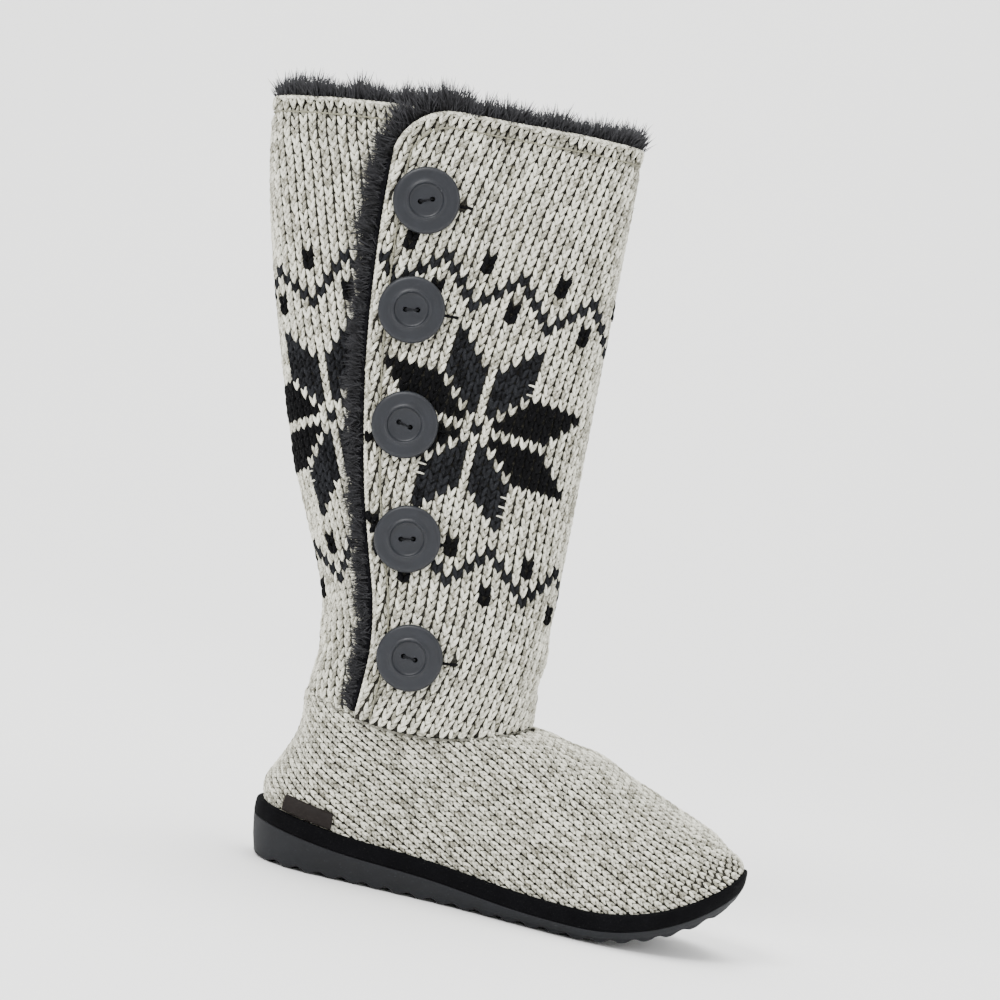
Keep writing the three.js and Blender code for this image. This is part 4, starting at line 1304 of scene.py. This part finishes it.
# %% Stitches of the foot
def foot_panel(name, side):
    """One side of the foot as strands."""
    net = Net(side)
    i, j = np.meshgrid(np.arange(0, 58), np.arange(-70, 75), indexing="ij")
    i, j = i.ravel() + 0.5, j.ravel()
    points, along, out, size = [], [], [], []
    rng = np.random.default_rng(11)
    for half in (-1, 1):
        s0, t0 = (i + half * 0.02) * FOOT_WALE, (j - 0.5) * FOOT_COURSE
        s1, t1 = (i + half * 0.33) * FOOT_WALE, (j + 0.52) * FOOT_COURSE
        ok = net.on_foot(s0, t0) & net.on_foot(s1, t1)
        a, b = net.at(s0[ok], t0[ok]), net.at(s1[ok], t1[ok])
        normal = net.out((s0 + s1)[ok] / 2, (t0 + t1)[ok] / 2)
        length = np.linalg.norm(b - a, axis=1)
        centre = (a + b) / 2
        centre = centre + normal * (foot_relief(centre) - 0.25)[:, None]
        centre = centre + rng.normal(0, 0.08, centre.shape)
        good = (length < 7) & (centre[:, 2] > band_top(centre[:, 0]) - BAND_COVER)
        thick = 1 + rng.normal(0, 0.05, len(a))
        points.append(centre[good])
        along.append((a - b)[good])
        out.append(normal[good])
        size.append((np.column_stack([0.9 * thick, 0.88 * thick, length * 0.62]) / 1000)[good])
    count = sum(len(p) for p in points)
    return grow(name, strands, np.concatenate(points), {
        "along": np.concatenate(along), "out": np.concatenate(out), "size": np.concatenate(size),
        "yarn": np.zeros(count)}, {"Sides": 6, "Rings": 4, "Seed": 9, "Material": yarn_finish})


outer_foot, inner_foot = foot_panel("foot_knit_outer", -1), foot_panel("foot_knit_inner", 1)

# %% Wales at ridge and heel
def foot_out(angle, row):
    """The way out of the foot at a place."""
    around = foot_point(angle + 0.03, row) - foot_point(angle - 0.03, row)
    up = foot_point(angle, np.minimum(row + 0.3, 11)) - foot_point(angle, np.maximum(row - 0.3, 0))
    return unit(np.cross(around, up))


def middle_wale(name, angle, width):
    """One wale along the ridge of the instep or up the back of the heel, where the two sides meet."""
    rows = np.linspace(11, 0, 600)
    path = foot_point(np.full(600, angle), rows)
    normals = foot_out(np.full(600, angle), rows)
    path = path + normals * (foot_relief(path) + 0.05)[:, None]
    run = np.r_[0, np.cumsum(np.linalg.norm(np.diff(path, axis=0), axis=1))]

    def sample(at, values):
        return np.column_stack([np.interp(at, run, values[:, k]) for k in range(3)])

    starts = np.arange(0.5, run[-1] - 3, FOOT_COURSE)
    ends = starts + FOOT_COURSE * 1.02
    across = np.array([0.0, width, 0.0])
    points, along, out = [], [], []
    for half in (-1, 1):
        a = sample(starts, path) + across * half * 0.04
        b = sample(ends, path) + across * half * 0.33
        points.append((a + b) / 2)
        along.append(a - b)
        out.append(sample((starts + ends) / 2, normals))
    points, along = np.concatenate(points), np.concatenate(along)
    good = points[:, 2] > band_top(points[:, 0]) - BAND_COVER
    length = np.linalg.norm(along, axis=1)[good]
    return grow(name, strands, points[good], {
        "along": along[good], "out": np.concatenate(out)[good], "yarn": 0 * length,
        "size": np.column_stack([0 * length + 1.05, 0 * length + 1.0, length * 0.62]) / 1000},
        {"Sides": 6, "Rings": 4, "Seed": 13, "Material": yarn_finish})


ridge_wale, heel_wale = middle_wale("ridge_knit", np.pi, 5.6), middle_wale("heel_knit", 0.0, 4.4)

# %% Backing and lining of the foot
def foot_wall(name, deep_out, deep_in):
    """A wall of the foot between two depths."""
    around = np.linspace(0, 2 * np.pi, 128, endpoint=False)
    angle, row = np.meshgrid(around, np.linspace(0.05, 11, 45))
    base, normal = foot_point(angle, row), foot_out(angle, row)
    relief = foot_relief(base)
    outer = base + normal * (relief - deep_out)[..., None]
    inner = base + normal * (relief - deep_in)[..., None]
    return shell(name, outer, inner, True)


foot_backing = foot_wall("foot_backing", 1.0, 1.9)
foot_backing.data.materials.append(backing_and_shade_finish)
foot_lining = foot_wall("foot_lining", 1.95, 3.1)
foot_lining.data.materials.append(pile_cloth)
for thing in (outer_foot, inner_foot, ridge_wale, heel_wale, foot_backing, foot_lining):
    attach(thing, "root")
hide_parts("upper")
print("faces of backing and lining", len(foot_backing.data.polygons), len(foot_lining.data.polygons))

# %% [markdown]
# ## Pile
# Long dark pile lines the leg. It stands above the collar, shows along the flap's edge and covers the
# inside near the top. Blender's hair curves have no solid faces, so each lock here is a thin bent cone of
# few faces, and the tree sets thousands of them on points.

# %% The pile tree
def pile_tree():
    """The node tree that sets a bent cone on each point."""
    tree, start, end = new_tree("pile", [
        ("Bend", "NodeSocketFloat"), ("Seed", "NodeSocketInt"), ("Material", "NodeSocketMaterial")])
    cone = add_node(tree, "GeometryNodeMeshCone", {}, {
        "Vertices": 3, "Side Segments": 2, "Radius Top": 0.0, "Radius Bottom": 1.0, "Depth": 1.0})
    position = add_node(tree, "GeometryNodeInputPosition").outputs[0]
    parts = add_node(tree, "ShaderNodeSeparateXYZ", {}, {0: position})
    square = add_node(tree, "ShaderNodeMath", {"operation": "POWER"}, {0: parts.outputs[2], 1: 2.0})
    lean = add_node(tree, "ShaderNodeMath", {"operation": "MULTIPLY"}, {
        0: square.outputs[0], 1: start.outputs["Bend"]})
    push = add_node(tree, "ShaderNodeCombineXYZ", {}, {0: lean.outputs[0]})
    bent = add_node(tree, "GeometryNodeSetPosition", {}, {
        "Geometry": cone.outputs["Mesh"], "Offset": push.outputs[0]})
    store = {"data_type": "FLOAT", "domain": "POINT"}
    tip = add_node(tree, "GeometryNodeStoreNamedAttribute", store, {
        "Geometry": bent.outputs[0], "Name": "tip", "Value": parts.outputs[2]})
    finish_tree(tree, start, end, put_on_points(tree, start, tip.outputs[0], "X"))
    return tree


pile = pile_tree()
print("pile tree nodes", len(pile.nodes))

# %% Hair finish, with painted highlight towards the tips
def hair(place):
    tip, tone = attribute(place, "tip"), attribute(place, "tone")
    # Painted highlight: each lock grows lighter from its root towards its tip.
    mix = (tip * 0.5 + tone * 0.45 + noise(place, 300.0, 2.0) * 0.25 - 0.1).step(0.0, 1.0)
    return {"Base Color": mix.mix(colour(5, 5, 6), colour(54, 54, 57)), "Roughness": tone * 0.2 + 0.6}


hair_finish = make_material("pile_hair", hair, Specular_IOR_Level=0.25)
print("material", hair_finish.name)

# %% [markdown]
# ## Locks at the collar and the flap
# Real pile parts into clumps that lean together, with loose hairs between them. The roots are drawn at
# random but gathered round centres, and each centre has its own lean and length. Rows of even roots would
# look like a brush.

# %% Locks and clumps
STRAY_SHARE, STRAY_REACH = 0.42, 0.8


def leg_locks(name, q, h, out, way, spread, length, width, seed):
    """Locks rooted on the leg; way gives round, up and out for each, spread its random part."""
    rng = np.random.default_rng(seed)
    root = leg_point(q, h, out)
    around, up, normal = leg_frame(np.where(q < 0, q, np.maximum(q, 1.0)), np.minimum(h, 1.0))
    way = np.asarray(way) + rng.normal(0, 1, (len(q), 3)) * spread
    along = around * way[:, :1] + up * way[:, 1:2] + normal * way[:, 2:]
    length = length * rng.uniform(0.65, 1.15, len(q))
    wide = width * rng.uniform(0.5, 1.2, len(q))
    curl = rng.normal(0, 1, (len(q), 3))
    return grow(name, pile, root, {
        "along": along, "out": curl, "size": np.column_stack([wide, wide, length]) / 1000},
        {"Bend": 4.0, "Seed": seed, "Material": hair_finish})


def clumps(rng, count, low, high, pitch=3.4):
    """Places along a line gathered into clumps, each clump with its own lean and length."""
    centres = np.arange(low, high, pitch)
    centres = centres + rng.normal(0, 0.9, len(centres))
    which = rng.integers(0, len(centres), count)
    place = centres[which] + rng.normal(0, 1.1, count)
    lean = rng.normal(0, 1, (len(centres), 3))[which]
    reach = rng.uniform(0.6, 1.15, len(centres))[which]
    stray = rng.uniform(size=count) < STRAY_SHARE
    place = np.where(stray, rng.uniform(low, high, count), place)
    lean[stray], reach[stray] = 0.0, STRAY_REACH
    return np.clip(place, low, high), lean, reach


print("pile is clumped every", clumps.__defaults__[0], "mm, with a stray share of", STRAY_SHARE)

# %% Pile on the collar and inside the leg
COLLAR_LOCKS, LINING_LOCKS = 12000, 4500
COLLAR_RUN = girth(1.0) + OVERLAP
rng = np.random.default_rng(21)
q, lean, reach = clumps(rng, COLLAR_LOCKS, CORNER_RADIUS - 6, COLLAR_RUN - 1)
deep = rng.uniform(0, 1, COLLAR_LOCKS)
root_h = 1 - rng.uniform(1.0, 6.0, COLLAR_LOCKS) / SHAFT_HEIGHT - corner_drop(q) / SHAFT_HEIGHT
thick = 4.6 - 2.6 * in_flap(q)
way = np.column_stack([0 * q, np.ones(len(q)), 0.35 - 0.75 * deep]) + lean * (0.3, 0.0, 0.2)
collar_locks = leg_locks("collar_pile", q, root_h, flap_raise(q, 1.0) - 3.0 - deep * thick,
                         way, 0.13, 15.0 * reach, 0.78, 21)
q = rng.uniform(CORNER_RADIUS, COLLAR_RUN - 1, LINING_LOCKS)
lining_h = rng.uniform(0.8, 0.995, LINING_LOCKS) ** 0.7
way = np.column_stack([0 * q, np.full(len(q), 0.5), np.full(len(q), -0.8)])
lining_locks = leg_locks("lining_pile", q, lining_h, flap_raise(q, 1.0) - 3.4, way, 0.4, 6.0, 0.9, 22)
print("locks on the collar and inside", COLLAR_LOCKS, LINING_LOCKS)

# %% Pile along the flap
PLACKET_LOCKS = 8000


def placket_locks(count):
    """Locks round the flap's top corner and down its edge, longer near the corner."""
    rng = np.random.default_rng(23)
    arc = CORNER_RADIUS * np.pi / 2
    straight = SHAFT_HEIGHT - CORNER_RADIUS
    s, lean, reach = clumps(rng, count, 0.0, arc + straight - 4)
    turn = np.clip(s / arc, 0, 1) * np.pi / 2
    inside = rng.uniform(-3.5, 2.0, count)
    radius = CORNER_RADIUS - inside
    q = CORNER_RADIUS - radius * np.sin(turn)
    h = 1 - (CORNER_RADIUS - radius * np.cos(turn)) / SHAFT_HEIGHT
    h = h - np.clip(s - arc, 0, None) / SHAFT_HEIGHT
    lift = flap_raise(np.maximum(q, 0.0), h)
    out = rng.uniform(0.15, 0.8, count) * (lift - 1.0)
    way = np.column_stack([-np.sin(turn), np.cos(turn), 0.25 * np.ones(count)])
    way = way + lean * (0.2, 0.45, 0.2)
    full = 11.5 + 4.0 * (1 - smooth((s - arc) / 80.0))
    return leg_locks("placket_pile", q, np.minimum(h, 1.0), out, way, 0.17, full * reach, 0.75, 23)


flap_locks = placket_locks(PLACKET_LOCKS)
print("locks along the flap", PLACKET_LOCKS)

# %% [markdown]
# ## The pile's base
# Light would fall between the locks, so a dark band of cloth stands under them: one ring inside the collar
# and one strip beside the flap's edge. They are closed walls, a little lower than the hairs.

# %% Bases under the pile
columns = np.linspace(CORNER_RADIUS + 1, COLLAR_RUN - 0.5, 220)
section_out, section_in = [], []
for rise in (-22.0, -12.0, -4.0, 0.0, 1.5, 2.5):
    level = np.full(len(columns), 1 + rise / SHAFT_HEIGHT)
    thick = (4.2 - 2.7 * in_flap(columns)) * (1 - 0.6 * smooth((rise + 1) / 6))
    lift = flap_raise(columns, 1.0) - 3.4 - 0.4 * smooth(rise / 4)
    section_out.append(leg_point(columns, level, lift))
    section_in.append(leg_point(columns, level, lift - thick))
collar_base = shell("collar_base", np.array(section_out), np.array(section_in), False)
collar_base.data.materials.append(pile_cloth)


def placket_base():
    """A strip of cloth beside the flap's edge."""
    rows_out, rows_in = [], []
    heights = np.linspace(0.012, 1 - CORNER_RADIUS / SHAFT_HEIGHT, 80)
    for away in (0.4, 1.5, 3.0, 4.5, 6.0):
        lift = flap_raise(np.zeros(80), heights)
        shown = 0.8 * lift * (1 - smooth((away - 1.5) / 5.0)) + 0.9
        rows_out.append(leg_point(np.full(80, -away), heights, shown))
        rows_in.append(leg_point(np.full(80, -away), heights, 0.4))
    return shell("placket_base", np.array(rows_out), np.array(rows_in), False)


flap_base = placket_base()
flap_base.data.materials.append(pile_cloth)
for thing in (collar_locks, lining_locks, flap_locks, collar_base, flap_base):
    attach(thing, "root")
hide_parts("collar_fur")
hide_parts("placket_fur")
print("faces of the bases", len(collar_base.data.polygons), len(flap_base.data.polygons))

# %% [markdown]
# ## Buttons
# A big button is turned on a lathe: a rounded rim, a broad face, a raised ring and a well with two
# holes. A bevelled cylinder would miss the ring, so a drawn half profile is turned instead. One mesh is made
# and set on the flap five times, with thread through its holes.

# %% Button finish
def moulded(place):
    cloud, fine = noise(place, 120.0, 3.0), noise(place, 1600.0, 2.0)
    scuff = noise(place, 420.0, 4.0, 0.7).step(0.6, 0.75)
    return {"Base Color": (cloud * 0.6 + scuff * 0.4).mix(colour(17, 19, 24), colour(31, 34, 41)),
            "Roughness": scuff * 0.15 + cloud * 0.1 + 0.38,
            "Normal": bump(place, fine * 0.3 + cloud, 0.0002)}


button_finish = make_material("button", moulded, Specular_IOR_Level=0.35)
print("material", button_finish.name)

# %% Turning on a lathe
HOLE_SIDE = 3.25
PROFILE = [
    (0, 0), (13.5, 0), (15.6, 0.5), (16.9, 1.3), (17.45, 2.3), (17.3, 3.2), (16.8, 3.85), (16.0, 4.2),
    (14.8, 4.25), (12.6, 4.12), (10.6, 4.05), (10.3, 4.2), (9.95, 4.5), (9.6, 4.6), (9.25, 4.55),
    (8.95, 4.3), (8.8, 3.6), (8.4, 3.2), (7.6, 3.05), (5.0, 3.0), (0, 2.98),
]

PIN = [(0, -2), (1.35, -2), (1.15, 0.5), (1.15, 2.6), (1.5, 3.2), (1.5, 7), (0, 7)]


def turned(profile, sides):
    """The points and faces of a half profile turned round its axis."""
    points, faces = [(0, 0, profile[0][1])], []
    for radius, height in profile[1:-1]:
        for k in range(sides):
            a = 2 * np.pi * k / sides
            points.append((radius * np.cos(a), radius * np.sin(a), height))
    points.append((0, 0, profile[-1][1]))
    rings = len(profile) - 2
    for k in range(sides):
        n = (k + 1) % sides
        faces.append([0, 1 + n, 1 + k])
        for r in range(rings - 1):
            a = 1 + r * sides
            faces.append([a + k, a + n, a + sides + n, a + sides + k])
        last = 1 + (rings - 1) * sides
        faces.append([last + k, last + n, len(points) - 1])
    return np.array(points) / 1000, faces


print("the button is", 2 * max(radius for radius, _ in PROFILE), "mm across")

# %% The button's mesh
def button_mesh():
    """The turned button with its two holes cut."""
    points, faces = turned(PROFILE, 72)
    disc = make_object("button_blank", points, outward(points, faces))
    for side in (-HOLE_SIDE, HOLE_SIDE):
        points, faces = turned(PIN, 28)
        pin = make_object("hole", points + np.array([side / 1000, 0, 0]), outward(points, faces))
        cut = disc.modifiers.new("cut", "BOOLEAN")
        cut.operation, cut.object, cut.solver = "DIFFERENCE", pin, "EXACT"
        bpy.context.view_layer.update()
        ready = disc.evaluated_get(bpy.context.evaluated_depsgraph_get())
        mesh = bpy.data.meshes.new_from_object(ready)
        disc.modifiers.clear()
        disc.data = mesh
        bpy.data.objects.remove(pin)
    mesh.set_sharp_from_angle(angle=0.7)
    bpy.data.objects.remove(disc)
    return mesh


blank = button_mesh()
print("one button has faces", len(blank.polygons))

# %% Setting the buttons
def flap_place(distance, height):
    """A point on top of the flap."""
    distance, height = np.array([distance]), np.array([height])
    return leg_point(distance, height, flap_raise(distance, height))[0]


def button_frame(height):
    """The ways along, up and out at a button, and the point of the flap under its middle."""
    along = unit(flap_place(BUTTON_FROM_EDGE + 1, height) - flap_place(BUTTON_FROM_EDGE - 1, height))
    step = 1 / SHAFT_HEIGHT
    up = flap_place(BUTTON_FROM_EDGE, height + step) - flap_place(BUTTON_FROM_EDGE, height - step)
    out = unit(np.cross(along, up))
    return np.column_stack([along, np.cross(out, along), out]), flap_place(BUTTON_FROM_EDGE, height)


BUTTON_TURNS = (0.35, 0.12, -0.25, 0.2, -0.1)
BUTTON_STANDOFF = 0.0011
STROKES = [((-3.4, y, 4.5), (3.4, y * -0.6, 4.5)) for y in (-0.55, 0.0, 0.6)]
STROKES += [((x, 0, -2.4), (x, 0, 4.6)) for x in (-HOLE_SIDE, HOLE_SIDE)]
thread_points, thread_along, thread_out = [], [], []
for number, level in enumerate(BUTTON_HEIGHTS):
    axes, seat = button_frame(level)
    spin = np.array(Matrix.Rotation(BUTTON_TURNS[number], 3, "Z"))
    local = np.array([v.co for v in blank.vertices]) @ spin.T
    local[:, 2] += BUTTON_STANDOFF
    mesh = blank.copy()
    mesh.vertices.foreach_set("co", (local @ axes.T + to_world(seat)).ravel())
    button = bpy.data.objects.new(f"coat_button_{number + 1}", mesh)
    bpy.context.scene.collection.objects.link(button)
    button.data.materials.append(button_finish)
    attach(button, "root")
    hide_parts(f"button_{number + 1}")
    for first, second in STROKES:
        a, b = np.array(first) @ spin.T, np.array(second) @ spin.T
        thread_points.append(seat + (a + b) / 2 @ axes.T)
        thread_along.append((b - a) @ axes.T)
        thread_out.append(axes[:, 1] if abs(first[0] - second[0]) > 1 else axes[:, 0])
print("buttons set", len(BUTTON_HEIGHTS))

# %% Thread through the buttons
lengths = np.linalg.norm(thread_along, axis=1)
button_threads = grow("button_sewing", strands, np.array(thread_points), {
    "along": np.array(thread_along), "out": np.array(thread_out),
    "size": np.column_stack([0 * lengths + 0.34, 0 * lengths + 0.34, lengths * 0.56]) / 1000,
    "yarn": 0 * lengths + 1}, {"Sides": 8, "Rings": 8, "Seed": 2, "Material": yarn_finish})
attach(button_threads, "root")
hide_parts(*[f"button_thread_{k}" for k in range(1, 6)])
print("strokes of thread", len(lengths))

# %% [markdown]
# ## Label
# A small folded ribbon tab is sewn in above the band near the heel. It is a thin wall that follows the
# foot's surface, plumper at the fold below than at the sewn end. It carries no lettering.

# %% Label
LABEL_BACK, LABEL_FRONT, LABEL_TALL = 15.0, 43.0, 8.5


def ribbon(place):
    weave = noise(place, 1800.0, 2.0) * 0.6 + noise(place, 200.0) * 0.4
    return {"Base Color": weave.mix(colour(8, 6, 5), colour(28, 21, 18)),
            "Normal": bump(place, weave, 0.0002)}


def label_tab():
    """The folded tab as a wall on the foot."""
    xs = np.linspace(LABEL_BACK, LABEL_FRONT, 25)
    outer, inner = [], []
    angles = np.arccos(1 - 2 * xs / SOLE_LENGTH)
    rows = np.linspace(0, 8, 400)
    for share in np.linspace(0, 1, 9):
        places = []
        for x, angle in zip(xs, angles):
            line = foot_point(np.full(400, angle), rows)
            target = band_top(x) + 0.6 + share * LABEL_TALL
            places.append(np.interp(target, line[:, 2], rows))
        base = foot_point(angles, np.array(places))
        normal = foot_out(angles, np.array(places))
        base = base + normal * (foot_relief(base) + 0.5)[:, None]
        plump = 1.6 * (1 - 0.75 * share ** 4) + 0.15 * np.sin(xs * 0.6)
        outer.append(base + normal * (0.75 + plump)[:, None])
        inner.append(base + normal * 0.75)
    return shell("label_tab", np.array(outer), np.array(inner), False)


label = label_tab()
label.data.materials.append(make_material("ribbon", ribbon, Roughness=0.7, Specular_IOR_Level=0.2))
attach(label, "root")
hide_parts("label")
print("label faces", len(label.data.polygons))

# %% [markdown]
# ## Floor and light
# The boot stands on a pale floor that curves up into a backdrop, so that no horizon shows. Big square
# lights give soft shadows, as a product photographer's tent does: a key from the camera's left, a weak fill
# from the right and one above. The world's even grey opens the shadows.

# %% Floor
FLOOR_DROP = 0.0004
SWEEP_START, SWEEP_RADIUS = 1.2, 0.8


def paper(place):
    return {"Base Color": noise(place, 3.0).mix(colour(249, 249, 248), colour(252, 252, 251))}


floor_finish = make_material("floor", paper, Roughness=0.9)
sweep_line = [(-3.0, 0.0), (SWEEP_START, 0.0)]
sweep_line += [(SWEEP_START + np.sin(a) * SWEEP_RADIUS, SWEEP_RADIUS - np.cos(a) * SWEEP_RADIUS)
               for a in np.linspace(0.1, np.pi / 2, 12)]
sweep_line += [(SWEEP_START + SWEEP_RADIUS, 4.0)]
floor_points = [(x, y, z - FLOOR_DROP) for y, z in sweep_line for x in (-4.0, 4.0)]
floor = make_object("floor", floor_points, [
    [2 * i, 2 * i + 1, 2 * i + 3, 2 * i + 2] for i in range(len(sweep_line) - 1)])
floor.data.materials.append(floor_finish)
print("floor faces", len(floor.data.polygons))

# %% Lights
def area_light(name, place, aim, size, power):
    """A square light that looks at a point."""
    light = bpy.data.lights.new(name, "AREA")
    light.shape, light.size, light.energy = "SQUARE", size, power
    lamp = bpy.data.objects.new(name, light)
    lamp.location = place
    lamp.rotation_euler = (Vector(aim) - Vector(place)).to_track_quat("-Z", "Y").to_euler()
    bpy.context.scene.collection.objects.link(lamp)


area_light("key", (-1.3, -1.7, 2.2), (0, 0, 0.2), 1.1, 88)
area_light("fill", (1.9, -1.5, 1.1), (0, 0, 0.2), 1.8, 22)
area_light("top", (0.2, 0.5, 2.6), (0, 0, 0.2), 1.6, 60)
world = bpy.data.worlds.new("studio")
world.use_nodes = True
world.node_tree.nodes["Background"].inputs["Color"].default_value = (0.93, 0.93, 0.93, 1)
world.node_tree.nodes["Background"].inputs["Strength"].default_value = 1.3
bpy.context.scene.world = world
print("lights", [light.name for light in bpy.data.lights])

# %% [markdown]
# ## Camera
# The photo looks straight at the outer side from afar, so the lens is long. The boot in the photo hangs
# with its foot drooping, while the part stands; rolling the camera a little brings the leg to the photo's
# slant without bending the boot.

# %% Camera
CAMERA_ROLL = np.radians(13.0)
camera_data = bpy.data.cameras.new("camera")
camera_data.lens, camera_data.sensor_width = 110, 36
camera = bpy.data.objects.new("camera", camera_data)
bpy.context.scene.collection.objects.link(camera)
aim = Vector((-0.005, 0.0, 0.212))
place = aim + Vector((0.0, -1.62, 0.06))
facing = (aim - place).to_track_quat("-Z", "Y").to_matrix().to_4x4()
camera.matrix_world = Matrix.Translation(place) @ facing @ Matrix.Rotation(CAMERA_ROLL, 4, "Z")
bpy.context.scene.camera = camera
print("the camera stands", round((aim - place).length, 3), "m away")
